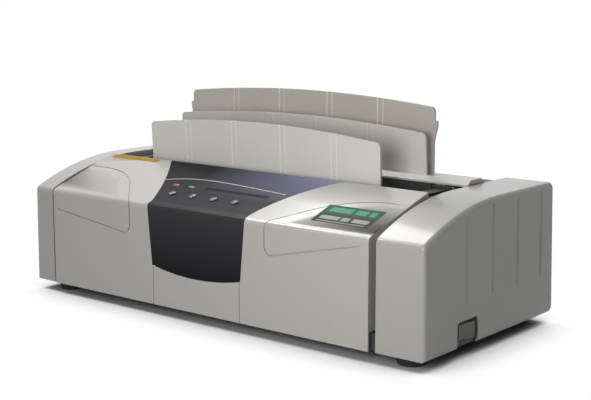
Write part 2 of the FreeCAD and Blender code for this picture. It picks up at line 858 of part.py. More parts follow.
def decor_band(side, sign, foot):
    """The plan of one wing's styling groove, from the cap in an arc and then straight to the front."""
    half = "(decor_width / 2)"
    slant = "(sqrt(2) / 2)"
    radius = f"((decor_{side}_top_set - decor_straight_run) / (1 - {slant}))"
    centre_x = f"({foot} + ({sign}) * (decor_straight_run + {radius} * {slant}))"
    centre_y = f"({COVER_FRONT} + decor_{side}_top_set - {radius})"
    far = f"({foot} + ({sign}) * overall_length / 2)"
    rows = []
    for reach in (f"({radius} + {half})", f"({radius} - {half})"):
        knee_x = f"({centre_x} - ({sign}) * {reach} * {slant})"
        knee_y = f"({centre_y} + {reach} * {slant})"
        middle_x = f"({centre_x} - ({sign}) * {reach} * sin(45 / 2))"
        middle_y = f"({centre_y} + {reach} * cos(45 / 2))"
        fall = f"({knee_y} - {COVER_FRONT} + overrun)"
        rows.append((reach, knee_x, knee_y, middle_x, middle_y, fall))
    outer, inner = rows
    corners = [
        (far, f"({centre_y} + {outer[0]})"),
        (centre_x, f"({centre_y} + {outer[0]})"),
        (outer[1], outer[2], outer[3], outer[4]),
        (f"({outer[1]} - ({sign}) * {outer[5]})", f"({COVER_FRONT} - overrun)"),
        (f"({inner[1]} - ({sign}) * {inner[5]})", f"({COVER_FRONT} - overrun)"),
        (inner[1], inner[2]),
        (centre_x, f"({centre_y} + {inner[0]})", inner[3], inner[4]),
        (far, f"({centre_y} + {inner[0]})"),
    ]
    return prism(f"{side}_decor_plan", "z", corners, f"({SHELL} + cover_front_height - cover_edge_round)",
                 "cover_rear_height")


def decor_front(side, sign, foot):
    """The front outline of one wing's styling groove: upright, round a corner and out in a slant."""
    half = "(decor_width / 2)"
    turn = f"((90 + decor_{side}_slope) / 2)"
    centre_x = f"({foot} + ({sign}) * decor_corner_radius)"
    centre_z = f"({SHELL} + decor_{side}_knee_height)"
    top = f"({SHELL} + cover_front_height - cover_edge_round / 2)"
    rows = []
    for reach in (f"(decor_corner_radius + {half})", f"(decor_corner_radius - {half})"):
        side_x = f"({centre_x} - ({sign}) * {reach})"
        middle_x = f"({centre_x} - ({sign}) * {reach} * cos({turn}))"
        middle_z = f"({centre_z} - {reach} * sin({turn}))"
        end_x = f"({centre_x} - ({sign}) * {reach} * cos(2 * {turn}))"
        end_z = f"({centre_z} - {reach} * sin(2 * {turn}))"
        far_x = f"({end_x} + ({sign}) * decor_line_length * cos(decor_{side}_slope))"
        far_z = f"({end_z} + decor_line_length * sin(decor_{side}_slope))"
        rows.append((side_x, middle_x, middle_z, end_x, end_z, far_x, far_z))
    outer, inner = rows
    corners = [
        (inner[0], top),
        (outer[0], top),
        (outer[0], centre_z),
        (outer[3], outer[4], outer[1], outer[2]),
        (outer[5], outer[6]),
        (inner[5], inner[6]),
        (inner[3], inner[4]),
        (inner[0], centre_z, inner[1], inner[2]),
    ]
    return prism(f"{side}_decor_front", "y", corners, f"({COVER_FRONT} - overrun)", "(overrun + decor_depth)")


def decor_grooves(whole):
    """The tools that cut both wings' fine styling grooves, no deeper than the cover's skin."""
    skin = cut("decor_skin", whole, cover_block("decor_core", "decor_depth"))
    tools = []
    for side, sign, foot in (
        ("left", -1, f"({FASCIA_MIDDLE} - fascia_front_half_width - decor_left_set)"),
        ("right", 1, f"({FASCIA_MIDDLE} + fascia_front_half_width + decor_right_set)"),
    ):
        tools.append(common(f"{side}_decor_top", skin, decor_band(side, sign, foot)))
        tools.append(decor_front(side, sign, foot))
    return tools


def cover_shell():
    """The whole front cover before its seams: a bent sheet with closed ends and a rear skirt."""
    top = f"({SHELL} + cover_rear_height)"
    brow = f"({SHELL} + cover_front_height)"
    body = cover_block("cover_outer", "0")
    inner_front = f"({COVER_FRONT} + cover_wall)"
    inner_rear = f"({COVER_REAR} - cover_wall)"
    skirt = f"({top} - cover_skirt_height)"
    foot = f"({SHELL} - overrun)"
    hollow = prism(
        "cover_hollow", "x",
        [
            (inner_front, foot),
            (inner_front, f"({brow} + cover_wall * {SLOPE} - cover_wall * {SLANT})"),
            (inner_rear, f"({top} - cover_wall * {SLOPE} - cover_wall * {SLANT})"),
            (inner_rear, skirt),
            (f"({COVER_REAR} + overrun)", skirt),
            (f"({COVER_REAR} + overrun)", foot),
        ],
        LEFT_END, "overall_length",
    )
    plan = prism("cover_plan", "z", cover_plan("0"), "0", f"({top} + overrun)")
    inner_plan = prism("cover_inner_plan", "z", cover_plan("cover_wall"), "0", f"({top} + overrun)")
    # The base pan passes under the cover's two end walls
    room = block(
        "cover_pan_room", (LEFT_END, inner_front, foot),
        ("overall_length", "(cover_run + overrun)", f"({PAN_TOP} + pan_flange + pan_clearance - {foot})"),
    )
    posts = []
    holes = []
    for index, (x, y) in enumerate(COVER_SCREWS):
        posts.append(cylinder(f"cover_post_{index}", (x, y, PAN_TOP), "post_radius", "cover_rear_height"))
        holes.append(screw_hole(f"cover_pilot_{index}", x, y, f"({PAN_TOP} - overrun)",
                                "(screw_bite + overrun)"))
    inside = fuse("cover_inside", common("cover_hollow_part", hollow, inner_plan), room)
    space = cut("cover_space", inside, *posts)
    solid = common("cover_solid", body, plan)
    return cut("cover_whole", solid, space, *holes, *decor_grooves(solid))


def fascia_region(label, grow):
    """The region of the cover that the dark fascia fills: its front outline and its top outline."""
    fold = f"({COVER_FRONT} + fascia_fold)"
    front_half = f"(fascia_front_half_width + {grow})"
    rear_half = f"(fascia_rear_half_width + {grow})"
    foot_half = f"(fascia_foot_half_width + {grow})"
    foot = f"({SHELL} + fascia_foot_height - {grow})"
    top = f"({SHELL} + cover_rear_height + overrun)"
    middle_half = f"(({front_half} + {rear_half}) / 2)"
    halfway = f"(({fold} + {COVER_REAR}) / 2)"
    front = prism(
        label + "_front", "y",
        [
            (f"({FASCIA_MIDDLE} - {front_half})", f"({SHELL} + cover_front_height)"),
            (f"({FASCIA_MIDDLE} - {foot_half})", foot),
            (f"({FASCIA_MIDDLE} + {foot_half})", foot, FASCIA_MIDDLE, f"({foot} - fascia_foot_bow)"),
            (f"({FASCIA_MIDDLE} + {front_half})", f"({SHELL} + cover_front_height)"),
            (f"({FASCIA_MIDDLE} + {front_half})", top),
            (f"({FASCIA_MIDDLE} - {front_half})", top),
        ],
        f"({COVER_FRONT} - overrun)", "(fascia_fold + overrun)",
    )
    above = prism(
        label + "_top", "z",
        [
            (
                f"({FASCIA_MIDDLE} - {front_half})", fold,
                f"({FASCIA_MIDDLE} - {middle_half} + fascia_left_bow)", halfway,
            ),
            (f"({FASCIA_MIDDLE} + {front_half})", fold),
            (
                f"({FASCIA_MIDDLE} + {rear_half})", COVER_REAR,
                f"({FASCIA_MIDDLE} + {middle_half} - fascia_right_bow)", halfway,
            ),
            (f"({FASCIA_MIDDLE} + {rear_half})", f"({COVER_REAR} + overrun)"),
            (f"({FASCIA_MIDDLE} - {rear_half})", f"({COVER_REAR} + overrun)"),
            (f"({FASCIA_MIDDLE} - {rear_half})", COVER_REAR),
        ],
        SHELL, "(cover_rear_height + overrun)",
    )
    return fuse(label, front, above)


def tilt(item, x, along, depth):
    """Stand an object on the cover's slanted top: along the slope from the front edge and below it."""
    item.Placement.Rotation = FreeCAD.Rotation(AXES["x"], 1)
    item.setExpression("Placement.Rotation.Angle", bound(f"atan({SLOPE})"))
    return place(
        item, x,
        f"({COVER_FRONT} + ({along} + ({depth}) * {SLOPE}) / {SLANT})",
        f"({SHELL} + cover_front_height + (({along}) * {SLOPE} - ({depth})) / {SLANT})",
    )


def tilted_block(label, x, along, depth, size):
    """A box on the slope from its low corner. Its depth is that of its lower face."""
    return tilt(block(label, ("0", "0", "0"), size), x, along, depth)


def tilted_cylinder(label, x, along, depth, radius, length):
    """A cylinder square to the slope, from the middle of its lower end."""
    item = doc.addObject("Part::Cylinder", label)
    item.setExpression("Radius", bound(radius))
    item.setExpression("Height", bound(length))
    return tilt(item, x, along, depth)


BUTTONS = [f"(-button_first_set + {turn} * button_pitch - fascia_offset)" for turn in range(4)]
LAMPS = (("red", f"({FASCIA_MIDDLE} - red_lamp_set)"), ("green", f"({FASCIA_MIDDLE} - green_lamp_set)"))
WINDOW_LEFT = f"({FASCIA_MIDDLE} + window_set - window_length / 2)"
BOARD_LEFT = f"({FASCIA_MIDDLE} - board_length / 2)"
BOARD_UNDER = "(board_depth + board_thickness)"
BOARD_POSTS = [
    (x, along)
    for x in (f"({BOARD_LEFT} + board_post_inset)", f"({BOARD_LEFT} + board_length - board_post_inset)")
    for along in ("(board_along + board_post_inset)", "(board_along + board_width - board_post_inset)")
]


def control_fascia(whole):
    """The dark fascia with its holes, and the four posts that carry the control board."""
    cuts = []
    for index, x in enumerate(BUTTONS):
        cuts.append(tilted_cylinder(
            f"button_hole_{index}", x, "button_along", "(cover_wall + overrun)",
            "(button_radius + button_clearance)", "(cover_wall + 2 * overrun)",
        ))
    for name, x in LAMPS:
        cuts.append(tilted_block(
            f"{name}_lamp_hole", f"({x} - lamp_length / 2 - lamp_clearance)",
            "(lamp_along - lamp_width / 2 - lamp_clearance)", "(cover_wall + overrun)",
            ("(lamp_length + 2 * lamp_clearance)", "(lamp_width + 2 * lamp_clearance)",
             "(cover_wall + 2 * overrun)"),
        ))
    cuts.append(tilted_block(
        "window_hole", f"({WINDOW_LEFT} - lamp_clearance)",
        "(lamp_along - window_width / 2 - lamp_clearance)", "(cover_wall + overrun)",
        ("(window_length + 2 * lamp_clearance)", "(window_width + 2 * lamp_clearance)",
         "(cover_wall + 2 * overrun)"),
    ))
    posts = []
    for index, (x, along) in enumerate(BOARD_POSTS):
        posts.append(tilted_cylinder(
            f"board_post_{index}", x, along, "board_depth", "board_post_radius",
            "(board_depth - cover_wall / 2)",
        ))
        cuts.append(tilted_cylinder(
            f"board_pilot_{index}", x, along, "(board_depth + overrun)",
            "(screw_radius + screw_clearance)", "(screw_bite + overrun)",
        ))
    skin = common("fascia_skin", whole, fascia_region("fascia_region", "0"))
    return node(cut("fascia", fuse("fascia_solid", skin, *posts), *cuts), "control_fascia")


def front_cover():
    """The two wings and the apron, each cut from the whole cover at its seams."""
    whole = cover_shell()
    control_fascia(whole)
    rest = cut("cover_rest", whole, fascia_region("fascia_clearance", "seam_gap"))
    span = ("(overall_length / 2)", "cap_depth", "(cover_rear_height + overrun)")
    seam = "(apron_half_width + seam_gap / 2)"
    far_left = f"({FASCIA_MIDDLE} - {seam} - overall_length / 2)"
    left = block("left_wing_box", (far_left, COVER_FRONT, SHELL), span)
    right = block("right_wing_box", (f"({FASCIA_MIDDLE} + {seam})", COVER_FRONT, SHELL), span)
    centre = block(
        "apron_box", (f"({FASCIA_MIDDLE} - apron_half_width + seam_gap / 2)", COVER_FRONT, SHELL),
        ("(2 * apron_half_width - seam_gap)", "cap_depth", "fascia_foot_height"),
    )
    # Two pads hold the apron off the pan's front flange
    pads = [
        block(
            f"apron_pad_{index}",
            (f"({FASCIA_MIDDLE} + ({turn}) * apron_pad_spread - apron_pad_length / 2)",
             f"({COVER_FRONT} + cover_wall / 2)", PAN_TOP),
            ("apron_pad_length", f"({PAN_FRONT} - seam_gap - {COVER_FRONT} - cover_wall / 2)",
             "apron_pad_height"),
        )
        for index, turn in enumerate((-1, 1))
    ]
    node(common("left_wing", rest, left), "left_front_cover")
    node(common("right_wing", rest, right), "right_front_cover")
    node(fuse("apron", common("apron_skin", rest, centre), *pads), "centre_apron")


def buttons():
    """Four domed buttons, each on a stem above its switch."""
    foot = "(-(board_depth - key_switch_height - button_travel - button_rest_gap))"
    rim = "(-cover_wall - screw_clearance)"
    # The dome is part of a ball whose middle is on the button's axis
    dome = "((button_radius^2 + button_rim^2) / (2 * button_rim))"
    for index, x in enumerate(BUTTONS):
        body = turned(f"button_{index + 1}_body", [
            ("0", foot),
            ("button_stem_radius", foot),
            ("button_stem_radius", f"({rim} - button_flange)"),
            ("button_flange_radius", f"({rim} - button_flange)"),
            ("button_flange_radius", rim),
            ("button_radius", rim),
            ("button_radius", "(button_proud - button_rim)"),
            (
                "0", "button_proud",
                "(button_radius / 2)",
                f"(button_proud - {dome} + sqrt({dome}^2 - button_radius^2 / 4))",
            ),
        ])
        node(tilt(body, x, "button_along", "0"), f"button_{index + 1}")


def control_board():
    """The board under the fascia with its key switches, lamps, display and buzzer."""
    size = ("board_length", "board_width", "board_thickness")
    plate = tilted_block("board_plate", BOARD_LEFT, "board_along", BOARD_UNDER, size)
    holes = [
        tilted_cylinder(f"board_hole_{index}", x, along, f"({BOARD_UNDER} + overrun)",
                        "(screw_radius + screw_clearance)", "(board_thickness + 2 * overrun)")
        for index, (x, along) in enumerate(BOARD_POSTS)
    ]
    node(cut("board", plate, *holes), "control_board")
    keys = []
    for index, x in enumerate(BUTTONS):
        keys.append(tilted_block(
            f"key_{index}", f"({x} - key_switch_size / 2)", "(button_along - key_switch_size / 2)",
            "board_depth", ("key_switch_size", "key_switch_size", "key_switch_height"),
        ))
    node(group("keys", *keys), "key_switches")
    for name, x in LAMPS:
        lamp = tilted_block(
            f"{name}_lamp", f"({x} - lamp_length / 2)", "(lamp_along - lamp_width / 2)", "board_depth",
            ("lamp_length", "lamp_width", "(board_depth + lamp_proud)"),
        )
        node(lamp, f"{name}_indicator")
    window = tilted_block(
        "window", WINDOW_LEFT, "(lamp_along - window_width / 2)", "(window_recess + window_thickness)",
        ("window_length", "window_width", "window_thickness"),
    )
    node(window, "display_window")
    display = tilted_block(
        "display", f"({WINDOW_LEFT} - display_margin)", "(lamp_along - window_width / 2 - display_margin)",
        "board_depth",
        ("(window_length + 2 * display_margin)", "(window_width + 2 * display_margin)",
         "(board_depth - cover_wall - lamp_clearance)"),
    )
    node(display, "display_module")
    buzzer = tilted_cylinder(
        "buzzer", f"({FASCIA_MIDDLE} - red_lamp_set / 2 + green_lamp_set / 2)",
        "(board_along + board_width / 2)", f"({BOARD_UNDER} + buzzer_height)",
        "buzzer_radius", "buzzer_height",
    )
    node(buzzer, "buzzer")
    screws = []
    for index, (x, along) in enumerate(BOARD_POSTS):
        head = tilted_cylinder(f"board_screw_head_{index}", x, along, f"({BOARD_UNDER} + screw_head)",
                               "screw_head_radius", "screw_head")
        shank = tilted_cylinder(f"board_screw_shank_{index}", x, along, BOARD_UNDER, "screw_radius",
                                "(screw_bite - screw_clearance)")
        screws.append(fuse(f"board_screw_{index}", head, shank))
    node(group("board_screw_set", *screws), "board_screws")


def base_pan():
    """The folded tray that closes the machine below, with its screw holes."""
    left = f"({LEFT_END} + cap_wall + pan_clearance)"
    length = "(overall_length - 2 * cap_wall - 2 * pan_clearance)"
    tray = block("pan_outer", (left, PAN_FRONT, f"({SHELL} + pan_set)"),
                 (length, f"({PAN_REAR} - {PAN_FRONT})", "(pan_thickness + pan_flange)"))
    hollow = block("pan_hollow", (f"({left} + pan_thickness)", f"({PAN_FRONT} + pan_thickness)", PAN_TOP),
                   (f"({length} - 2 * pan_thickness)", f"({PAN_REAR} - {PAN_FRONT} - 2 * pan_thickness)",
                    "(pan_flange + overrun)"))
    gap = block("pan_switch_gap", (f"({RIGHT_END} - cap_wall - bezel_thickness - overrun)",
                                   f"({CAP_FRONT} + notch_set - bezel_margin - pan_clearance)", PAN_TOP),
                ("(bezel_thickness + 2 * overrun)", "(notch_length + 2 * bezel_margin + 2 * pan_clearance)",
                 "(pan_flange + overrun)"))
    tools = [hollow, gap]
    for index, (x, y) in enumerate(PAN_SCREWS):
        tools.append(screw_hole(f"pan_hole_{index}", x, y, f"({SHELL} - overrun)",
                                "(pan_thickness + 3 * overrun)"))
    for name, x, y in FEET:
        tools.append(cylinder(f"pan_foot_hole_{name}", (x, y, f"({SHELL} - overrun)"),
                              "(foot_screw_radius + screw_clearance)", "(pan_thickness + 3 * overrun)"))
    for name, x in REAR_SCREWS:
        tools.append(screw_hole(f"pan_rear_hole_{name}", x, f"({PAN_REAR} - overrun)", REAR_SCREW_LEVEL,
                                "(2 * overrun)", "y"))
    node(cut("pan", tray, *tools), "base_pan")


def pan_screws():
    """The screws that hold the caps, the cover and the frames to the pan."""
    screws = [
        screw(f"pan_screw_{index}", (x, y, f"({SHELL} + pan_set)"))
        for index, (x, y) in enumerate(PAN_SCREWS)
    ]
    node(group("pan_screw_set", *screws), "pan_screws")


def feet():
    """Four rubber feet, each with a screw up into the pan."""
    screws = []
    cones = []
    for name, x, y in FEET:
        cone = doc.addObject("Part::Cone", f"foot_{name}_cone")
        for side, text in (("Radius1", "foot_bottom_radius"), ("Radius2", "foot_top_radius"),
                           ("Height", "(foot_height + pan_set)")):
            cone.setExpression(side, bound(text))
        place(cone, x, y)
        recess = cylinder(f"foot_{name}_recess", (x, y, "(-overrun)"), "foot_recess_radius",
                          "(foot_recess + overrun)")
        hole = cylinder(f"foot_{name}_hole", (x, y, "0"), "(foot_screw_radius + screw_clearance)",
                        "(foot_height + pan_set + overrun)")
        cones.append(cut(f"foot_{name}", cone, recess, hole))
        head = cylinder(f"foot_{name}_screw_head", (x, y, "(foot_recess - foot_screw_head)"),
                        "foot_screw_head_radius", "foot_screw_head")
        shank = cylinder(f"foot_{name}_screw_shank", (x, y, "foot_recess"), "foot_screw_radius",
                         f"({PAN_TOP} + foot_screw_head - foot_recess)")
        screws.append(fuse(f"foot_{name}_screw", head, shank))
    node(group("foot_set_of_four", *cones), "rubber_feet")
    node(group("foot_screw_set", *screws), "foot_screws")


def side_frame(side, sign, inner, rail):
    """A steel frame beside a cap: a plate, a bottom flange and two ears that hold the slide rod."""
    outer = f"({inner} - ({sign}) * frame_gap)"
    low = outer if sign < 0 else f"({outer} - frame_thickness)"
    run = f"({FRAME_REAR} - {FRAME_FRONT})"
    plate = block(f"{side}_frame_plate", (low, FRAME_FRONT, PAN_TOP),
                  ("frame_thickness", run, f"({DECK_UNDER} - {PAN_TOP})"))
    flange_low = low if sign < 0 else f"({outer} - frame_thickness - frame_flange)"
    flange = block(f"{side}_frame_flange", (flange_low, FRAME_FRONT, PAN_TOP),
                   ("(frame_thickness + frame_flange)", run, "frame_thickness"))
    ear_low = low if sign < 0 else f"({outer} - frame_thickness - frame_ear_width)"
    ears = []
    for name, y in ROD_EARS:
        ears.append(block(f"{side}_{name}_ear", (ear_low, y, f"({ROD_LEVEL} - frame_ear_half_height)"),
                          ("(frame_thickness + frame_ear_width)", "frame_thickness",
                           "(2 * frame_ear_half_height)")))
    tools = [cylinder(f"{side}_ear_bore", (rail, f"({FRAME_FRONT} - overrun)", ROD_LEVEL),
                      "(rod_radius + rod_clearance)", f"({run} + 2 * overrun)", "y")]
    for index, (x, y) in enumerate(FRAME_SCREWS):
        if (index < 2) == (sign < 0):
            tools.append(screw_hole(f"{side}_frame_hole_{index}", x, y, f"({PAN_TOP} - overrun)",
                                    "(frame_thickness + 2 * overrun)"))
    solid = fuse(f"{side}_frame_solid", plate, flange, *ears)
    node(cut(f"{side}_frame", solid, *tools), f"{side}_side_frame")


def slides():
    """Rods, their clips, and the blocks with bushes that slide on them under the clamp bar."""
    rods = []
    blocks = []
    clips = []
    bushes = []
    for side, rail in (("left", LEFT_RAIL), ("right", RIGHT_RAIL)):
        start = f"({ROD_FRONT} - frame_thickness - 2 * clip_thickness)"
        length = f"({ROD_REAR} - {ROD_FRONT} + 2 * frame_thickness + 4 * clip_thickness)"
        rods.append(cylinder(f"{side}_rod", (rail, start, ROD_LEVEL), "rod_radius", length, "y"))
        for name, y in (("front", f"({ROD_FRONT} - frame_thickness - clip_thickness)"),
                        ("rear", f"({ROD_REAR} + frame_thickness)")):
            ring = cylinder(f"{side}_{name}_clip_ring", (rail, y, ROD_LEVEL), "clip_radius",
                            "clip_thickness", "y")
            bore = cylinder(f"{side}_{name}_clip_bore", (rail, f"({y} - overrun)", ROD_LEVEL),
                            "(rod_radius + rod_clearance)", "(clip_thickness + 2 * overrun)", "y")
            clips.append(cut(f"{side}_{name}_clip", ring, bore))
        back = f"({BLOCK_MIDDLE} - block_length / 2)"
        carrier = block(f"{side}_block_body",
                        (f"({rail} - block_width / 2)", back, f"({ROD_LEVEL} - block_height / 2)"),
                        ("block_width", "block_length", "block_height"))
        neck = block(f"{side}_block_neck",
                     (f"({rail} - neck_width / 2)", f"({BLOCK_MIDDLE} - neck_length / 2)", ROD_LEVEL),
                     ("neck_width", "neck_length", f"({BAR_UNDER} - {ROD_LEVEL})"))
        pad = block(f"{side}_block_pad",
                    (f"({rail} - pad_width / 2)", f"({BLOCK_MIDDLE} - pad_length / 2)",
                     f"({BAR_UNDER} - pad_thickness)"),
                    ("pad_width", "pad_length", "pad_thickness"))
        bore = cylinder(f"{side}_block_bore", (rail, f"({back} - overrun)", ROD_LEVEL),
                        "(bush_radius + rod_clearance)", "(block_length + 2 * overrun)", "y")
        pilots = [screw_hole(f"{side}_pad_hole_{name}", rail, y, f"({BAR_UNDER} - pad_thickness - overrun)",
                             "(pad_thickness + 2 * overrun)") for name, y in PAD_SCREWS]
        blocks.append(cut(f"{side}_block", fuse(f"{side}_block_solid", carrier, neck, pad), bore, *pilots))
        shell = cylinder(f"{side}_bush_shell", (rail, back, ROD_LEVEL), "bush_radius", "block_length", "y")
        hole = cylinder(f"{side}_bush_hole", (rail, f"({back} - overrun)", ROD_LEVEL),
                        "(rod_radius + bush_clearance)", "(block_length + 2 * overrun)", "y")
        bushes.append(cut(f"{side}_bush", shell, hole))
    node(group("rod_set", *rods), "slide_rods")
    node(group("block_set", *blocks), "slide_blocks")
    node(group("clip_set", *clips), "rod_clips")
    node(group("bush_set", *bushes), "slide_bushes")


def clamp_bar():
    """The sliding bar of trapezoid section, with a groove for each plate and its screw holes."""
    left = f"({LEFT_INNER} + bar_gap)"
    length = f"({RIGHT_INNER} - {LEFT_INNER} - 2 * bar_gap)"
    rear = f"({BAR_FRONT} + bar_depth)"
    shoulder = f"({BAR_UNDER} + bar_lip)"
    body = prism("bar_body", "x", [
        (BAR_FRONT, BAR_UNDER),
        (BAR_FRONT, shoulder),
        (f"({BAR_FRONT} + bar_bevel_run)", BAR_TOP),
        (f"({rear} - bar_bevel_run)", BAR_TOP),
        (rear, shoulder),
        (rear, BAR_UNDER),
    ], left, length)
    tools = []
    for name, y, width in (("clamp", CLAMP_PLATE_FRONT, "clamp_plate_width"),
                           ("rack", RACK_PLATE_FRONT, "rack_plate_width")):
        tools.append(block(
            f"{name}_groove",
            (f"({PLATE_MIDDLE} - {width} / 2 - groove_clearance)", f"({y} - groove_clearance)",
             f"({BAR_TOP} - bar_groove)"),
            (f"({width} + 2 * groove_clearance)", "(plate_thickness + 2 * groove_clearance)",
             "(bar_groove + overrun)"),
        ))
    screws = []
    for side, rail in (("left", LEFT_RAIL), ("right", RIGHT_RAIL)):
        for name, y in PAD_SCREWS:
            tools.append(screw_hole(f"{side}_{name}_bar_pilot", rail, y, f"({BAR_UNDER} - overrun)",
                                    "(bar_groove + overrun)"))
            screws.append(screw(f"{side}_{name}_pad_screw", (rail, y, f"({BAR_UNDER} - pad_thickness)"),
                                "(pad_thickness + bar_groove - screw_clearance)"))
    for index, (x, y) in enumerate(JAW_SCREWS):
        tools.append(screw_hole(f"jaw_pilot_{index}", x, y, f"({BAR_UNDER} - overrun)",
                                "(bar_groove + overrun)"))
        screws.append(screw(f"jaw_screw_{index}", (x, y, f"({BAR_UNDER} - jaw_thickness)"),
                            "(jaw_thickness + bar_groove - screw_clearance)"))
    node(cut("bar", body, *tools), "clamp_bar")
    node(group("bar_screw_set", *screws), "bar_screws")


def clamp_jaw():
    """The angle under the bar that presses the papers against the front plate."""
    front = f"({BAR_FRONT} + jaw_inset)"
    inner = f"({front} + jaw_thickness)"
    foot = f"({WELL_FLOOR} + heating_plate_thickness + jaw_lift)"
    under = f"({BAR_UNDER} - jaw_thickness)"
    back = f"({front} + jaw_flange)"
    body = prism("jaw_body", "x", [
        (front, foot), (front, BAR_UNDER), (back, BAR_UNDER), (back, under), (inner, under), (inner, foot),
    ], f"({WELL_LEFT} + jaw_end_gap)", "(well_length - 2 * jaw_end_gap)")
    holes = [screw_hole(f"jaw_hole_{index}", x, y, f"({under} - overrun)", "(jaw_thickness + 2 * overrun)")
             for index, (x, y) in enumerate(JAW_SCREWS)]
    node(cut("jaw", body, *holes), "clamp_jaw")


def support_plate(label, front, foot, top, width, drop, lean, ears=False, holes=()):
    """An upright paper support with a curved top edge, a forward lean and four shallow channels."""
    bend = BAR_TOP
    crest = f"({SHELL} + {top})"
    half = f"({width} / 2)"
    shoulder = f"({crest} - {drop})"
    left = f"({PLATE_MIDDLE} - {half})"
    right = f"({PLATE_MIDDLE} + {half})"
    if ears:
        tip = f"({SHELL} + rack_ear_top)"
        root = f"({SHELL} + rack_ear_foot)"
        right_side = [(right, foot), (right, root), (f"({right} + rack_ear)", f"({tip} - rack_ear_lip)"),
                      (f"({right} + rack_ear)", tip), (right, tip)]
        left_side = [(left, tip), (f"({left} - rack_ear)", tip),
                     (f"({left} - rack_ear)", f"({tip} - rack_ear_lip)"), (left, root), (left, foot)]
    else:
        right_side = [(right, foot)]
        left_side = [(left, foot)]
    face = prism(
        label + "_face", "y",
        right_side + [(right, shoulder), (left, shoulder, PLATE_MIDDLE, crest)] + left_side,
        f"({front} - {lean} - overrun)", f"({lean} + plate_thickness + 2 * overrun)",
    )
    doc.recompute()
    for side, x in (("left", left), ("right", right)):
        edge = nearest_edge(face.Shape, "y", x=x, z=shoulder)
        fillet(face, [edge], "plate_corner", f"{label}_{side}_corner")
    sheet_section = prism(
        label + "_sheet", "x",
        [
            (front, foot),
            (front, bend),
            (f"({front} - {lean})", crest),
            (f"({front} - {lean} + plate_thickness)", crest),
            (f"({front} + plate_thickness)", bend),
            (f"({front} + plate_thickness)", foot),
        ],
        f"({left} - overrun)", f"({width} + 2 * overrun)",
    )
    channels = []
    for turn in range(CHANNELS):
        x = f"({PLATE_MIDDLE} + ({turn} - {CHANNELS - 1} / 2) * channel_pitch - channel_width / 2)"
        channel = block(f"{label}_channel_{turn}", ("0", "0", "0"),
                        ("channel_width", "(channel_depth + overrun)", f"({crest} - {bend} + overrun)"))
        channel.Placement.Rotation = FreeCAD.Rotation(AXES["x"], 1)
        channel.setExpression("Placement.Rotation.Angle", bound(f"atan({lean} / ({crest} - {bend}))"))
        place(channel, x, f"({front} - overrun)", bend)
        channels.append(channel)
    node(cut(label + "_cut", common(label + "_blank", face, sheet_section), *channels, *holes), label)


def support_plates():
    """The fixed front plate, and the clamp and rack plates that ride on the bar."""
    heater_top = f"({WELL_FLOOR} + heating_plate_thickness)"
    seat = f"({BAR_TOP} - bar_groove)"
    holes = [cylinder("plate_sensor_hole", (FASCIA_MIDDLE, f"({WELL_FRONT} - overrun)", SENSOR_LEVEL),
                      "sensor_hole_radius", "(2 * overrun)", "y")]
    for index, x in enumerate(PLATE_SCREWS):
        holes.append(screw_hole(f"plate_pilot_{index}", x, f"({WELL_FRONT} - overrun)", SENSOR_LEVEL,
                                "(2 * overrun)", "y"))
    support_plate("front_support_plate", WELL_FRONT, f"({heater_top} + front_plate_lift)",
                  "front_plate_height", "front_plate_width", "front_plate_drop", "front_plate_lean",
                  holes=holes)
    support_plate("clamp_support_plate", CLAMP_PLATE_FRONT, seat,
                  "clamp_plate_height", "clamp_plate_width", "clamp_plate_drop", "clamp_plate_lean")
    support_plate("cooling_rack_plate", RACK_PLATE_FRONT, seat,
                  "rack_plate_height", "rack_plate_width", "rack_plate_drop", "0", ears=True)


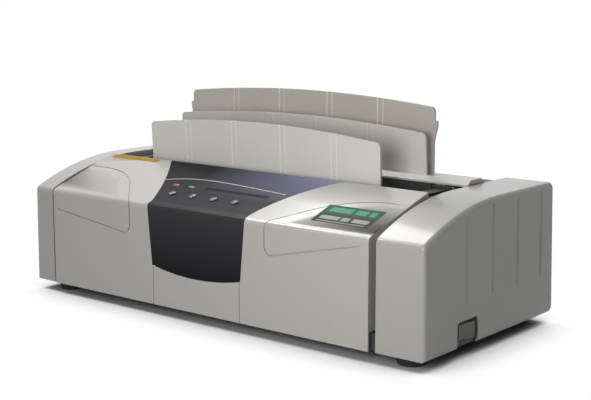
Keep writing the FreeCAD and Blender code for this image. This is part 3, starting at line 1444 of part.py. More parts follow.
def well_liner():
    """The dark deck with its well: front and rear walls, ends, a ledged floor and two slots."""
    left = f"({LEFT_INNER} + liner_gap)"
    length = f"({RIGHT_INNER} - {LEFT_INNER} - 2 * liner_gap)"
    deck = block("liner_deck", (left, LINER_FRONT, DECK_UNDER),
                 (length, f"({LINER_REAR} - {LINER_FRONT})", "deck_thickness"))
    foot = f"({WELL_FLOOR} - deck_thickness)"
    well = block("liner_well", (f"({WELL_LEFT} - well_wall)", f"({WELL_FRONT} - well_wall)", foot),
                 ("(well_length + 2 * well_wall)", "(well_width + 2 * well_wall)", f"({DECK_TOP} - {foot})"))
    hollow = block("liner_hollow", (WELL_LEFT, WELL_FRONT, WELL_FLOOR),
                   ("well_length", "well_width", "(deck_height + overrun)"))
    window = block("liner_window", (f"({WELL_LEFT} + well_ledge)", f"({WELL_FRONT} + well_ledge)",
                                    f"({foot} - overrun)"),
                   ("(well_length - 2 * well_ledge)", "(well_width - 2 * well_ledge)",
                    "(deck_thickness + 2 * overrun)"))
    slots = []
    for side, rail in (("left", LEFT_RAIL), ("right", RIGHT_RAIL)):
        slots.append(block(
            f"{side}_slot",
            (f"({rail} - slot_width / 2)", f"({BLOCK_MIDDLE} - clamp_travel - neck_length / 2 - slot_margin)",
             f"({DECK_UNDER} - overrun)"),
            ("slot_width", "(clamp_travel + neck_length + 2 * slot_margin)",
             "(deck_thickness + 2 * overrun)"),
        ))
    bore = cylinder("liner_sensor_hole", (FASCIA_MIDDLE, f"({WELL_FRONT} - overrun)", SENSOR_LEVEL),
                    "sensor_hole_radius", "(2 * overrun)", "y")
    pilots = [screw_hole(f"liner_pilot_{index}", x, y, f"({foot} - overrun)", "(deck_thickness + overrun)")
              for index, (x, y) in enumerate(HEATER_SCREWS)]
    pilots += [screw_hole(f"liner_plate_hole_{index}", x, f"({WELL_FRONT} - overrun)", SENSOR_LEVEL,
                          "(2 * overrun)", "y") for index, x in enumerate(PLATE_SCREWS)]
    node(cut("liner", fuse("liner_solid", deck, well), hollow, window, bore, *slots, *pilots), "well_liner")
    sensor = block("sensor", (f"({FASCIA_MIDDLE} - sensor_length / 2)",
                              f"({WELL_FRONT} - well_wall - sensor_depth)",
                              f"({SENSOR_LEVEL} - sensor_height / 2)"),
                   ("sensor_length", "sensor_depth", "sensor_height"))
    node(sensor, "document_sensor")


def heater():
    """The heating plate in the well, the element under it, its insulation and the sheet that holds them."""
    gap = "heating_plate_clearance"
    node(block("hot_plate", (f"({WELL_LEFT} + {gap})", f"({WELL_FRONT} + {gap})", WELL_FLOOR),
               (f"(well_length - 2 * {gap})", f"(well_width - 2 * {gap})", "heating_plate_thickness")),
         "heating_plate")
    board_top = f"({WELL_FLOOR} - deck_thickness)"
    element_width = "(well_width - 2 * well_ledge - 2 * element_clearance)"
    node(block("element", (f"({MIDDLE} - element_length / 2)", f"({CLAMP_MIDDLE} - {element_width} / 2)",
                           board_top),
               ("element_length", element_width, "deck_thickness")), "heater_element")
    board_foot = f"({board_top} - insulation_thickness)"
    node(block("insulation", (f"({MIDDLE} - insulation_length / 2)",
                              f"({CLAMP_MIDDLE} - insulation_width / 2)", board_foot),
               ("insulation_length", "insulation_width", "insulation_thickness")), "heater_insulation")
    inner = f"({CLAMP_HALF} - clamp_sheet)"
    wide = f"({CLAMP_HALF} + clamp_flange)"
    body = prism("heater_clamp_body", "x", [
        (f"({CLAMP_MIDDLE} - {wide})", board_top),
        (f"({CLAMP_MIDDLE} - {inner})", board_top),
        (f"({CLAMP_MIDDLE} - {inner})", board_foot),
        (f"({CLAMP_MIDDLE} + {inner})", board_foot),
        (f"({CLAMP_MIDDLE} + {inner})", board_top),
        (f"({CLAMP_MIDDLE} + {wide})", board_top),
        (f"({CLAMP_MIDDLE} + {wide})", f"({board_top} - clamp_sheet)"),
        (f"({CLAMP_MIDDLE} + {CLAMP_HALF})", f"({board_top} - clamp_sheet)"),
        (f"({CLAMP_MIDDLE} + {CLAMP_HALF})", f"({board_foot} - clamp_sheet)"),
        (f"({CLAMP_MIDDLE} - {CLAMP_HALF})", f"({board_foot} - clamp_sheet)"),
        (f"({CLAMP_MIDDLE} - {CLAMP_HALF})", f"({board_top} - clamp_sheet)"),
        (f"({CLAMP_MIDDLE} - {wide})", f"({board_top} - clamp_sheet)"),
    ], f"({MIDDLE} - insulation_length / 2)", "insulation_length")
    holes = [screw_hole(f"heater_hole_{index}", x, y, f"({board_foot} - overrun)", "(3 * overrun)")
             for index, (x, y) in enumerate(HEATER_SCREWS)]
    node(cut("heater_clamp_cut", body, *holes), "heater_clamp")
    screws = [screw(f"heater_screw_{index}", (x, y, f"({board_top} - clamp_sheet)"), "well_screw_bite")
              for index, (x, y) in enumerate(HEATER_SCREWS)]
    screws += [screw(f"plate_screw_{index}", (x, f"({WELL_FRONT} - well_wall)", SENSOR_LEVEL),
                     "well_screw_bite", "y") for index, x in enumerate(PLATE_SCREWS)]
    node(group("well_screw_set", *screws), "well_screws")
    end = f"({MIDDLE} + insulation_length / 2)"
    node(cylinder("thermostat_can", (f"({end} + thermostat_radius + element_clearance)", CLAMP_MIDDLE,
                                     f"({WELL_FLOOR} - thermostat_height)"),
                  "thermostat_radius", "thermostat_height"), "thermostat")
    node(cylinder("fuse_can", (f"({MIDDLE} - insulation_length / 2 - fuse_radius - element_clearance)",
                               f"({CLAMP_MIDDLE} - fuse_length / 2)", f"({WELL_FLOOR} - fuse_radius)"),
                  "fuse_radius", "fuse_length", "y"), "thermal_fuse")


def rear_housing():
    """The rear shell between the caps: a short top, a back wall, vents and the inlet opening."""
    top = f"({SHELL} + rear_height)"
    front = f"({LINER_REAR} + liner_gap)"
    back = f"({CAP_REAR} - rear_inset)"
    left = f"({LEFT_INNER} + liner_gap)"
    length = f"({RIGHT_INNER} - {LEFT_INNER} - 2 * liner_gap)"
    outer = prism("rear_outer", "x", [
        (front, f"({top} - rear_lip)"),
        (front, top),
        (back, top),
        (back, SHELL),
        (f"({back} - rear_wall)", SHELL),
        (f"({back} - rear_wall)", f"({top} - rear_lip)"),
    ], left, length)
    doc.recompute()
    fillet(outer, [nearest_edge(outer.Shape, "x", y=back, z=top)], "rear_round", "rear_edge")
    hollow = block("rear_hollow", (f"({left} - overrun)", f"({front} + rear_wall)", f"({SHELL} - overrun)"),
                   (f"({length} + 2 * overrun)", f"({back} - {front} - 2 * rear_wall)",
                    "(rear_height + overrun - rear_wall)"))
    tools = [hollow]
    for turn in range(VENTS):
        tools.append(block(
            f"vent_{turn}",
            (f"({LEFT_INNER} + vent_start + {turn} * vent_pitch)", f"({back} - rear_wall - overrun)",
             f"({SHELL} + vent_foot)"),
            ("vent_width", "(rear_wall + 2 * overrun)", "vent_height"),
        ))
    tools.append(block(
        "inlet_opening",
        (f"({INLET_X} - inlet_body_length / 2 - inlet_clearance)", f"({back} - rear_wall - overrun)",
         f"({INLET_Z} - inlet_body_height / 2 - inlet_clearance)"),
        ("(inlet_body_length + 2 * inlet_clearance)", "(rear_wall + 2 * overrun)",
         "(inlet_body_height + 2 * inlet_clearance)"),
    ))
    for spots, z in ((INLET_SCREWS, INLET_Z), (REAR_SCREWS, REAR_SCREW_LEVEL)):
        for name, x in spots:
            tools.append(screw_hole(f"rear_pilot_{name}", x, f"({back} - rear_wall - overrun)", z,
                                    "(rear_wall + 2 * overrun)", "y"))
    node(cut("rear_shell", outer, *tools), "rear_housing")


def power_inlet():
    """The mains inlet: a flanged socket with three pins, held by two screws."""
    back = f"({CAP_REAR} - rear_inset)"
    flange = block("inlet_flange_plate", (f"({INLET_X} - inlet_flange_length / 2)", back,
                                          f"({INLET_Z} - inlet_flange_height / 2)"),
                   ("inlet_flange_length", "inlet_flange", "inlet_flange_height"))
    body = block("inlet_body", (f"({INLET_X} - inlet_body_length / 2)", f"({back} - inlet_body_depth)",
                                f"({INLET_Z} - inlet_body_height / 2)"),
                 ("inlet_body_length", "(inlet_body_depth + inlet_flange)", "inlet_body_height"))
    mouth = block("inlet_mouth", (f"({INLET_X} - inlet_mouth_length / 2)",
                                  f"({back} + inlet_flange - inlet_mouth_depth)",
                                  f"({INLET_Z} - inlet_mouth_height / 2)"),
                  ("inlet_mouth_length", "(inlet_mouth_depth + overrun)", "inlet_mouth_height"))
    holes = [screw_hole(f"inlet_hole_{name}", x, f"({back} - overrun)", INLET_Z,
                        "(inlet_flange + 2 * overrun)", "y") for name, x in INLET_SCREWS]
    node(cut("inlet", fuse("inlet_solid", flange, body), mouth, *holes), "power_inlet")
    pins = []
    for name, across, up in (("left", "-pin_spread", "-pin_rise"), ("right", "pin_spread", "-pin_rise"),
                             ("earth", "0", "pin_rise")):
        pins.append(block(f"{name}_pin",
                          (f"({INLET_X} + ({across}) - pin_thickness / 2)",
                           f"({back} + inlet_flange - inlet_mouth_depth)",
                           f"({INLET_Z} + ({up}) - pin_width / 2)"),
                          ("pin_thickness", "pin_length", "pin_width")))
    node(group("pin_set", *pins), "inlet_pins")
    screws = []
    for spots, seat, z in ((INLET_SCREWS, f"({back} + inlet_flange)", INLET_Z),
                           (REAR_SCREWS, back, REAR_SCREW_LEVEL)):
        for name, x in spots:
            screws.append(screw(f"screw_{name}", (x, seat, z), "rear_screw_bite", "y", True))
    node(group("rear_screw_set", *screws), "rear_screws")


def power_switch():
    """The rocker switch in the right cap's notch: a dark bezel, a body behind it and the rocker."""
    back = f"({BEZEL_OUTER} - bezel_thickness)"
    foot = f"({PAN_TOP} + bezel_lift)"
    rocker_half = "(rocker_length / 2 + rocker_gap)"
    plate = block("bezel_plate", (back, f"({SWITCH_Y} - notch_length / 2 - bezel_margin)", foot),
                  ("bezel_thickness", "(notch_length + 2 * bezel_margin)",
                   f"({SHELL} + notch_height + bezel_margin - {foot})"))
    mouth = block("bezel_mouth", (f"({back} - overrun)", f"({SWITCH_Y} - {rocker_half})",
                                  f"({SWITCH_Z} - rocker_height / 2 - rocker_gap)"),
                  ("(bezel_thickness + 2 * overrun)", f"(2 * {rocker_half})",
                   "(rocker_height + 2 * rocker_gap)"))
    node(cut("bezel", plate, mouth), "switch_bezel")
    body = block("switch_box", (f"({back} - switch_body_depth)", f"({SWITCH_Y} - switch_body_length / 2)",
                                f"({SWITCH_Z} - switch_body_height / 2)"),
                 ("switch_body_depth", "switch_body_length", "switch_body_height"))
    hollow = block("switch_hollow", (f"({back} - rocker_room)", f"({SWITCH_Y} - {rocker_half})",
                                     f"({SWITCH_Z} - rocker_height / 2 - rocker_gap)"),
                   ("(rocker_room + overrun)", f"(2 * {rocker_half})", "(rocker_height + 2 * rocker_gap)"))
    pin_bore = cylinder("switch_pin_bore",
                        (PIVOT_X, SWITCH_Y, f"({SWITCH_Z} - rocker_pin_length / 2 - rocker_gap)"),
                        "(rocker_pin_radius + rocker_pin_clearance)", "(rocker_pin_length + 2 * rocker_gap)")
    node(cut("switch_case", body, hollow, pin_bore), "power_switch_body")
    face = prism("rocker_face", "z", [
        ("(-rocker_root)", "(-rocker_length / 2 * rocker_root_share)"),
        ("rocker_rise", "(-rocker_length / 2)"),
        ("rocker_valley", "0"),
        ("rocker_rise", "(rocker_length / 2)"),
        ("(-rocker_root)", "(rocker_length / 2 * rocker_root_share)"),
    ], "(-rocker_height / 2)", "rocker_height")
    pin = cylinder("rocker_pin", ("(-rocker_pivot_depth)", "0", "(-rocker_pin_length / 2)"),
                   "rocker_pin_radius", "rocker_pin_length")
    rocker = fuse("rocker", face, pin)
    rocker.Placement.Rotation = FreeCAD.Rotation(AXES["z"], -1)
    rocker.setExpression("Placement.Rotation.Angle", bound("-rocker_tilt"))
    place(rocker, f"({PIVOT_X} + rocker_pivot_depth * cos(rocker_tilt))",
          f"({SWITCH_Y} - rocker_pivot_depth * sin(rocker_tilt))", SWITCH_Z)
    node(rocker, "power_rocker")


def power_board():
    """The power board on four standoffs, with a transformer, a relay, a heat sink and capacitors."""
    left = POWER_BOARD_LEFT
    front = POWER_BOARD_FRONT
    under = f"({PAN_TOP} + standoff_height)"
    top = f"({under} + board_thickness)"
    node(block("power_plate", (left, front, under),
               ("power_board_length", "power_board_width", "board_thickness")), "power_board")
    standoffs = []
    for x in (f"({left} + standoff_inset)", f"({left} + power_board_length - standoff_inset)"):
        for y in (f"({front} + standoff_inset)", f"({front} + power_board_width - standoff_inset)"):
            standoffs.append(cylinder(f"standoff_{len(standoffs)}", (x, y, PAN_TOP), "standoff_radius",
                                      "standoff_height"))
    node(group("standoff_set", *standoffs), "board_standoffs")
    middle = f"({front} + power_board_width / 2)"
    core = block("core", (f"({left} + core_set)", f"({middle} - core_width / 2)", top),
                 ("core_length", "core_width", "core_height"))
    coil = block("coil", (f"({left} + core_set + core_length / 2 - coil_length / 2)",
                          f"({middle} - coil_width / 2)", f"({top} + core_height / 2 - coil_height / 2)"),
                 ("coil_length", "coil_width", "coil_height"))
    node(cut("core_cut", core, coil), "transformer_core")
    node(coil, "transformer_coil")
    node(block("relay_case", (f"({left} + relay_set)", f"({front} + part_edge)", top),
               ("relay_length", "relay_width", "relay_height")), "relay")
    base = block("sink_plate", (f"({left} + sink_set)", f"({middle} - sink_width / 2)", top),
                 ("sink_length", "sink_base", "sink_height"))
    fins = [block(f"sink_fin_{turn}",
                  (f"({left} + sink_set + {turn} * (sink_length - sink_fin) / {FINS - 1})",
                   f"({middle} - sink_width / 2)", top),
                  ("sink_fin", "sink_width", "sink_height")) for turn in range(FINS)]
    node(fuse("sink", base, *fins), "triac_heat_sink")
    cans = [cylinder(f"capacitor_{turn}",
                     (f"({left} + capacitor_set + {turn} * capacitor_pitch)",
                      f"({front} + power_board_width - part_edge - capacitor_radius)", top),
                     "capacitor_radius", "capacitor_height") for turn in range(2)]
    node(group("capacitor_set_of_two", *cans), "capacitors")


def lead(label, route):
    """One insulated wire: straight runs joined by arcs that meet them without a kink."""
    spots = [FreeCAD.Vector(*[number(text) for text in spot]) for spot in route]
    bend = number("lead_bend")
    edges = []
    start = spots[0]
    for before, corner, after in zip(spots, spots[1:], spots[2:]):
        arriving = (corner - before).normalize()
        leaving = (after - corner).normalize()
        arc_start = corner - arriving * bend
        arc_end = corner + leaving * bend
        centre = corner - arriving * bend + leaving * bend
        middle = centre + (corner - centre).normalize() * bend
        edges.append(Part.LineSegment(start, arc_start).toShape())
        edges.append(Part.Arc(arc_start, middle, arc_end).toShape())
        start = arc_end
    edges.append(Part.LineSegment(start, spots[-1]).toShape())
    path = Part.Wire(edges)
    heading = (spots[1] - spots[0]).normalize()
    ring = Part.Wire([Part.Circle(spots[0], heading, number("lead_radius")).toShape()])
    item = doc.addObject("Part::Feature", label)
    item.Shape = path.makePipeShell([ring], True, False)
    return item


def internal_leads():
    """The wires inside: inlet to board, switch to board, board to thermostat and board to controls.
    Each turns square, with its corners rounded, and the two of a pair never cross."""
    board_left = POWER_BOARD_LEFT
    board_right = POWER_BOARD_RIGHT
    board_front = POWER_BOARD_FRONT
    board_top = f"({PAN_TOP} + standoff_height + board_thickness)"
    on_board = f"({board_top} + lead_radius)"
    inlet_back = f"({CAP_REAR} - rear_inset - inlet_body_depth)"
    switch_back = f"({BEZEL_OUTER} - bezel_thickness - switch_body_depth)"
    thermostat_x = f"({MIDDLE} + insulation_length / 2 + thermostat_radius + element_clearance)"
    thermostat_foot = f"({WELL_FLOOR} - thermostat_height)"
    controls_y = f"({COVER_FRONT} + (lead_control_along + {BOARD_UNDER} * {SLOPE}) / {SLANT})"
    controls_z = f"({SHELL} + cover_front_height + (lead_control_along * {SLOPE} - {BOARD_UNDER}) / {SLANT})"
    leads = []
    for turn in range(2):
        offset = f"({turn} * lead_pitch)"
        landing = f"({board_right} - lead_board_inset)"
        row = f"({inlet_back} - lead_inlet_run - lead_pitch + {offset})"
        leads.append(lead(f"inlet_lead_{turn + 1}", [
            (f"({INLET_X} - {offset})", inlet_back, INLET_Z),
            (f"({INLET_X} - {offset})", row, INLET_Z),
            (landing, row, INLET_Z),
            (landing, row, board_top),
        ]))
        turn_x = f"({switch_back} - lead_switch_reach + {offset})"
        row = f"({board_front} + lead_switch_row + {offset})"
        leads.append(lead(f"switch_lead_{turn + 1}", [
            (switch_back, f"({SWITCH_Y} + {offset})", on_board),
            (turn_x, f"({SWITCH_Y} + {offset})", on_board),
            (turn_x, row, on_board),
            (f"({board_right} - lead_overlap)", row, on_board),
        ]))
        level = f"({thermostat_foot} - lead_heater_drop - {offset})"
        row = f"({board_front} + lead_heater_row + {offset})"
        start_x = f"({thermostat_x} - lead_pitch / 2 + {offset})"
        landing = f"({board_right} - lead_heater_inset + {offset})"
        leads.append(lead(f"heater_lead_{turn + 1}", [
            (start_x, CLAMP_MIDDLE, thermostat_foot),
            (start_x, CLAMP_MIDDLE, level),
            (start_x, row, level),
            (landing, row, level),
            (landing, row, board_top),
        ]))
        x = f"({board_left} + lead_control_set + {offset})"
        leads.append(lead(f"control_lead_{turn + 1}", [
            (x, controls_y, f"({controls_z} - lead_gap)"),
            (x, controls_y, on_board),
            (x, f"({board_front} + lead_overlap)", on_board),
        ]))
    node(group("lead_set", *leads), "internal_leads")


def labels():
    """The plain yellow strip at the cover's rear edge and the two-tone badge on the right wing."""
    span = "((cover_run + cover_proud) * " + SLANT + ")"
    strip = tilted_block("strip", f"({LEFT_INNER} + cover_left_front_gap + strip_start)",
                         f"({span} - strip_edge - strip_width)", "0",
                         ("strip_length", "strip_width", "label_thickness"))
    node(strip, "yellow_strip")
    badge = tilted_block("badge", f"({RIGHT_INNER} - cover_right_front_gap - badge_edge - badge_length)",
                         "badge_along", "0", ("badge_length", "badge_width", "label_thickness"))
    node(badge, "function_badge")


end_cap("left", -1, LEFT_END, LEFT_INNER, "left_cap_width")
end_cap("right", 1, RIGHT_END, RIGHT_INNER, "right_cap_width")
front_cover()
buttons()
control_board()
base_pan()
pan_screws()
feet()
side_frame("left", -1, LEFT_INNER, LEFT_RAIL)
side_frame("right", 1, RIGHT_INNER, RIGHT_RAIL)
slides()
clamp_bar()
clamp_jaw()
support_plates()
well_liner()
heater()
rear_housing()
power_inlet()
power_switch()
power_board()
internal_leads()
labels()

doc.recompute()


def check_document():
    """Stop before anything is written if an object failed or a sub-part isn't sound."""
    for item in doc.Objects:
        if "Invalid" in item.State or "Error" in item.State:
            raise RuntimeError(f"{item.Name} failed to recompute")
    labels = [item.Label for item in NODES]
    if len(set(labels)) != len(labels):
        raise RuntimeError("two sub-parts share a name")
    for item in NODES:
        if item.Shape.isNull() or not item.Shape.isValid():
            raise RuntimeError(f"{item.Label} has no valid shape")


def export_parts():
    """Write each sub-part to its own STEP file."""
    os.makedirs("parts", exist_ok=True)
    for item in NODES:
        item.Shape.exportStep(f"parts/{item.Label}.step")
    print(len(NODES), "sub-parts written")


check_document()
export_parts()
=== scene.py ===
import json
import math
import bmesh
import bpy
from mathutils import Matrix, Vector

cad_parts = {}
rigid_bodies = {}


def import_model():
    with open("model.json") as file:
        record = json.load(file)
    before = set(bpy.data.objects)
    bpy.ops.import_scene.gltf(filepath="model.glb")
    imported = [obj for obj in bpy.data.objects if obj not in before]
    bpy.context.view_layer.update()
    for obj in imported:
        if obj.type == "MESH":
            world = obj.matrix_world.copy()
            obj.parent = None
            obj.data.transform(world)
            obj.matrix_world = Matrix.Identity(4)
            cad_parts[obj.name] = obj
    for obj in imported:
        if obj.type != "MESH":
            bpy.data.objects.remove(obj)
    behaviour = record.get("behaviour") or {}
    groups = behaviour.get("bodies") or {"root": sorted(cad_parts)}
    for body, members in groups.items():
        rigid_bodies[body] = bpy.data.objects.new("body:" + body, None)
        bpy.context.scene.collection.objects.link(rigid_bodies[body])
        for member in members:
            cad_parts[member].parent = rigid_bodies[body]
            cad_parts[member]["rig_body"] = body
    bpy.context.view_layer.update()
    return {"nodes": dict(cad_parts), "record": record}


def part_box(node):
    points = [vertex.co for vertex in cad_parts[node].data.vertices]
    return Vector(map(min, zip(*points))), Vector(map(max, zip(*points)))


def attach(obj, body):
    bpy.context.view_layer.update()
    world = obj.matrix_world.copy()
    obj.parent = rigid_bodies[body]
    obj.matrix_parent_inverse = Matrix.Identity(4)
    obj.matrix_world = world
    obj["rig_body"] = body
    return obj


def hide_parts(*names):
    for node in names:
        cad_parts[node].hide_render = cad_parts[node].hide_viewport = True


# Thermal binding machine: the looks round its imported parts. Lengths are metres, in the part's
# own frame: X along the machine, Y to its back, Z up from the table.

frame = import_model()
MM = 0.001
ROOT = "root"
SLOT_OF = {part["node"]: part["material_slot"] for part in frame["record"]["subparts"]}


def srgb(red, green, blue):
    """A screen colour from 0 to 255 as the linear colour that a shader takes."""
    shares = [value / 255 for value in (red, green, blue)]
    linear = [x / 12.92 if x <= 0.04045 else ((x + 0.055) / 1.055) ** 2.4 for x in shares]
    return (*linear, 1.0)


def scaled(colour, share):
    """A colour with its three channels scaled by a share."""
    return (*[channel * share for channel in colour[:3]], 1.0)


# Shader building blocks

def new_material(name):
    """A node material with a principled shader, and the place that its texture nodes read."""
    material = bpy.data.materials.new(name)
    material.use_nodes = True
    tree = material.node_tree
    shader = tree.nodes["Principled BSDF"]
    place = tree.nodes.new("ShaderNodeTexCoord").outputs["Object"]
    return material, tree, shader, place


def texture_node(tree, kind, place, **values):
    """A texture node read at a place."""
    node = tree.nodes.new("ShaderNodeTex" + kind)
    tree.links.new(place, node.inputs["Vector"])
    for name, value in values.items():
        if name in node.inputs:
            node.inputs[name].default_value = value
        else:
            setattr(node, name, value)
    return node


def stretched(tree, place, scale):
    """Texture places drawn out along one or more axes."""
    node = tree.nodes.new("ShaderNodeMapping")
    node.inputs["Scale"].default_value = scale
    tree.links.new(place, node.inputs["Vector"])
    return node.outputs["Vector"]


def spread(tree, value, low, high, start=0.0, end=1.0):
    """A value between start and end spread evenly from low to high."""
    node = tree.nodes.new("ShaderNodeMapRange")
    for name, number in (("From Min", start), ("From Max", end), ("To Min", low), ("To Max", high)):
        node.inputs[name].default_value = number
    tree.links.new(value, node.inputs["Value"])
    return node.outputs["Result"]


def math_of(tree, kind, first, second):
    """Two values, or a value and a number, put through a math node."""
    node = tree.nodes.new("ShaderNodeMath")
    node.operation = kind
    for socket, value in zip(node.inputs, (first, second)):
        if isinstance(value, (int, float)):
            socket.default_value = value
        else:
            tree.links.new(value, socket)
    return node.outputs["Value"]


def blended(tree, factor, first, second):
    """One colour turning into another with a factor. Either may be a colour or a socket."""
    node = tree.nodes.new("ShaderNodeMix")
    node.data_type = "RGBA"
    sockets = [socket for socket in node.inputs if socket.type == "RGBA"]
    tree.links.new(factor, node.inputs["Factor"])
    for socket, value in zip(sockets, (first, second)):
        if isinstance(value, tuple):
            socket.default_value = value
        else:
            tree.links.new(value, socket)
    return next(socket for socket in node.outputs if socket.type == "RGBA")


def bumped(tree, shader, height, depth):
    """Let a height texture raise the surface by up to a depth in metres."""
    node = tree.nodes.new("ShaderNodeBump")
    node.inputs["Strength"].default_value = 1.0
    node.inputs["Distance"].default_value = depth
    tree.links.new(height, node.inputs["Height"])
    tree.links.new(node.outputs["Normal"], shader.inputs["Normal"])


def axis_values(tree, place):
    """The three coordinates of a place."""
    node = tree.nodes.new("ShaderNodeSeparateXYZ")
    tree.links.new(place, node.inputs["Vector"])
    return node.outputs["X"], node.outputs["Y"], node.outputs["Z"]


def band(tree, value, middle, half_width, soft):
    """One inside a band of a value, falling to nothing beyond its soft edge."""
    distance = math_of(tree, "ABSOLUTE", math_of(tree, "SUBTRACT", value, middle), 0.0)
    return spread(tree, distance, 1.0, 0.0, half_width - soft, half_width + soft)


def openness(tree, reach):
    """How open a surface is within a reach in metres: nothing in a crack, one in the clear."""
    node = tree.nodes.new("ShaderNodeAmbientOcclusion")
    node.inputs["Distance"].default_value = reach
    node.samples = 8
    return node.outputs["AO"]


# Finishes

# Painted shade: a dark grey laid over the silver paint in gaps and grooves, where shade falls
PAINTED_GAP_SHADE = srgb(52, 50, 48)
GAP_SHADE_REACH = 5 * MM
MOST_GAP_SHADE = 0.9
# Painted highlight: the pale colour laid along pressed edges, where they catch the light
PAINTED_EDGE_HIGHLIGHT = srgb(250, 249, 240)

# The openness up to which the painted gap shade is at its most, and that from which there is none
GAP_SHADE_FADE = (0.25, 0.75)


def painted_gap_shade(tree):
    """How much shade is painted into the paint: most in narrow gaps and grooves, none in the open."""
    return spread(tree, openness(tree, GAP_SHADE_REACH), MOST_GAP_SHADE, 0.0, *GAP_SHADE_FADE)


def painted_silver(name, colour, roughness=0.36, lines=None, gap_shaded=True):
    """Silver-grey pearl paint on moulded plastic: fine flakes, a soft mottle and an orange-peel skin.
    Lines, where there are any, are a mask of pressed edges along which a highlight is painted pale into the
    colour."""
    material, tree, shader, place = new_material(name)
    flakes = texture_node(tree, "Noise", place, Scale=2600.0, Detail=1.0)
    mottle = texture_node(tree, "Noise", place, Scale=11.0, Detail=3.0)
    grain = texture_node(tree, "Noise", place, Scale=700.0, Detail=2.0)
    flaked = blended(tree, spread(tree, flakes.outputs["Fac"], 0.0, 1.0, 0.35, 0.65),
                     scaled(colour, 0.93), scaled(colour, 1.05))
    cloudy = spread(tree, mottle.outputs["Fac"], 0.0, 0.5, 0.3, 0.7)
    tone = blended(tree, cloudy, flaked, scaled(colour, 0.95))
    # Painted highlight along pressed edges
    if lines:
        tone = blended(tree, lines(tree, place), tone, PAINTED_EDGE_HIGHLIGHT)
    # Painted shade darkens the paint in gaps and grooves
    if gap_shaded:
        tone = blended(tree, painted_gap_shade(tree), tone, PAINTED_GAP_SHADE)
    tree.links.new(tone, shader.inputs["Base Color"])
    rough = spread(tree, mottle.outputs["Fac"], roughness - 0.03, roughness + 0.05, 0.3, 0.7)
    tree.links.new(rough, shader.inputs["Roughness"])
    bumped(tree, shader, grain.outputs["Fac"], 0.012 * MM)
    shader.inputs["Specular IOR Level"].default_value = 0.45
    shader.inputs["Coat Weight"].default_value = 0.5
    shader.inputs["Coat Roughness"].default_value = 0.13
    return material


CHANNELS = 4
CHANNEL_PITCH = 64 * MM
CHANNEL_WIDTH = 6.5 * MM
# The painted highlight lines along the channels' edges: half width, soft edge and strength
LINE_HALF_WIDTH = 0.45 * MM
LINE_SOFTNESS = 0.3 * MM
LINE_STRENGTH = 0.75


def channel_edge_highlights(tree, place):
    """A painted highlight along the edges of a plate's pressed channels, two to each."""
    across = axis_values(tree, place)[0]
    low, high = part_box("front_support_plate")
    middle = (low.x + high.x) / 2
    mask = None
    for turn in range(CHANNELS):
        channel = middle + (turn - (CHANNELS - 1) / 2) * CHANNEL_PITCH
        for side in (-1, 1):
            edge = channel + side * CHANNEL_WIDTH / 2
            line = band(tree, across, edge, LINE_HALF_WIDTH, LINE_SOFTNESS)
            mask = line if mask is None else math_of(tree, "MAXIMUM", mask, line)
    return math_of(tree, "MULTIPLY", mask, LINE_STRENGTH)


def plate_paint(name, colour):
    """The support plates' silver: a little duller, without painted gap shade, and with a painted highlight
    along the channels' edges.
    """
    return painted_silver(name, colour, roughness=0.42, lines=channel_edge_highlights, gap_shaded=False)


def moulded_plastic(name, colour, roughness, grain_scale=900.0, grain_depth=0.03 * MM, coat=0.0):
    """Moulded plastic with an even spark-eroded grain and a slight change of tone."""
    material, tree, shader, place = new_material(name)
    grain = texture_node(tree, "Noise", place, Scale=grain_scale, Detail=3.0)
    mottle = texture_node(tree, "Noise", place, Scale=18.0, Detail=4.0)
    cloudy = spread(tree, mottle.outputs["Fac"], 0.0, 1.0, 0.3, 0.7)
    tone = blended(tree, cloudy, scaled(colour, 0.88), scaled(colour, 1.1))
    pits = spread(tree, grain.outputs["Fac"], 0.35, 0.0, 0.3, 0.6)
    tree.links.new(blended(tree, pits, tone, scaled(colour, 0.75)), shader.inputs["Base Color"])
    tree.links.new(spread(tree, grain.outputs["Fac"], roughness - 0.06, roughness + 0.08, 0.3, 0.7),
                   shader.inputs["Roughness"])
    bumped(tree, shader, grain.outputs["Fac"], grain_depth)
    shader.inputs["Specular IOR Level"].default_value = 0.35
    shader.inputs["Coat Weight"].default_value = coat
    shader.inputs["Coat Roughness"].default_value = 0.15
    return material


# Where the fascia's painted reflection and painted light change: depths behind its front face, and a share
# of its width
FOLD_FRONT = 2 * MM
FOLD_REAR = 9 * MM
REFLECTION_DEPTH = 30 * MM
REFLECTION_WIDTH_SHARE = 0.3


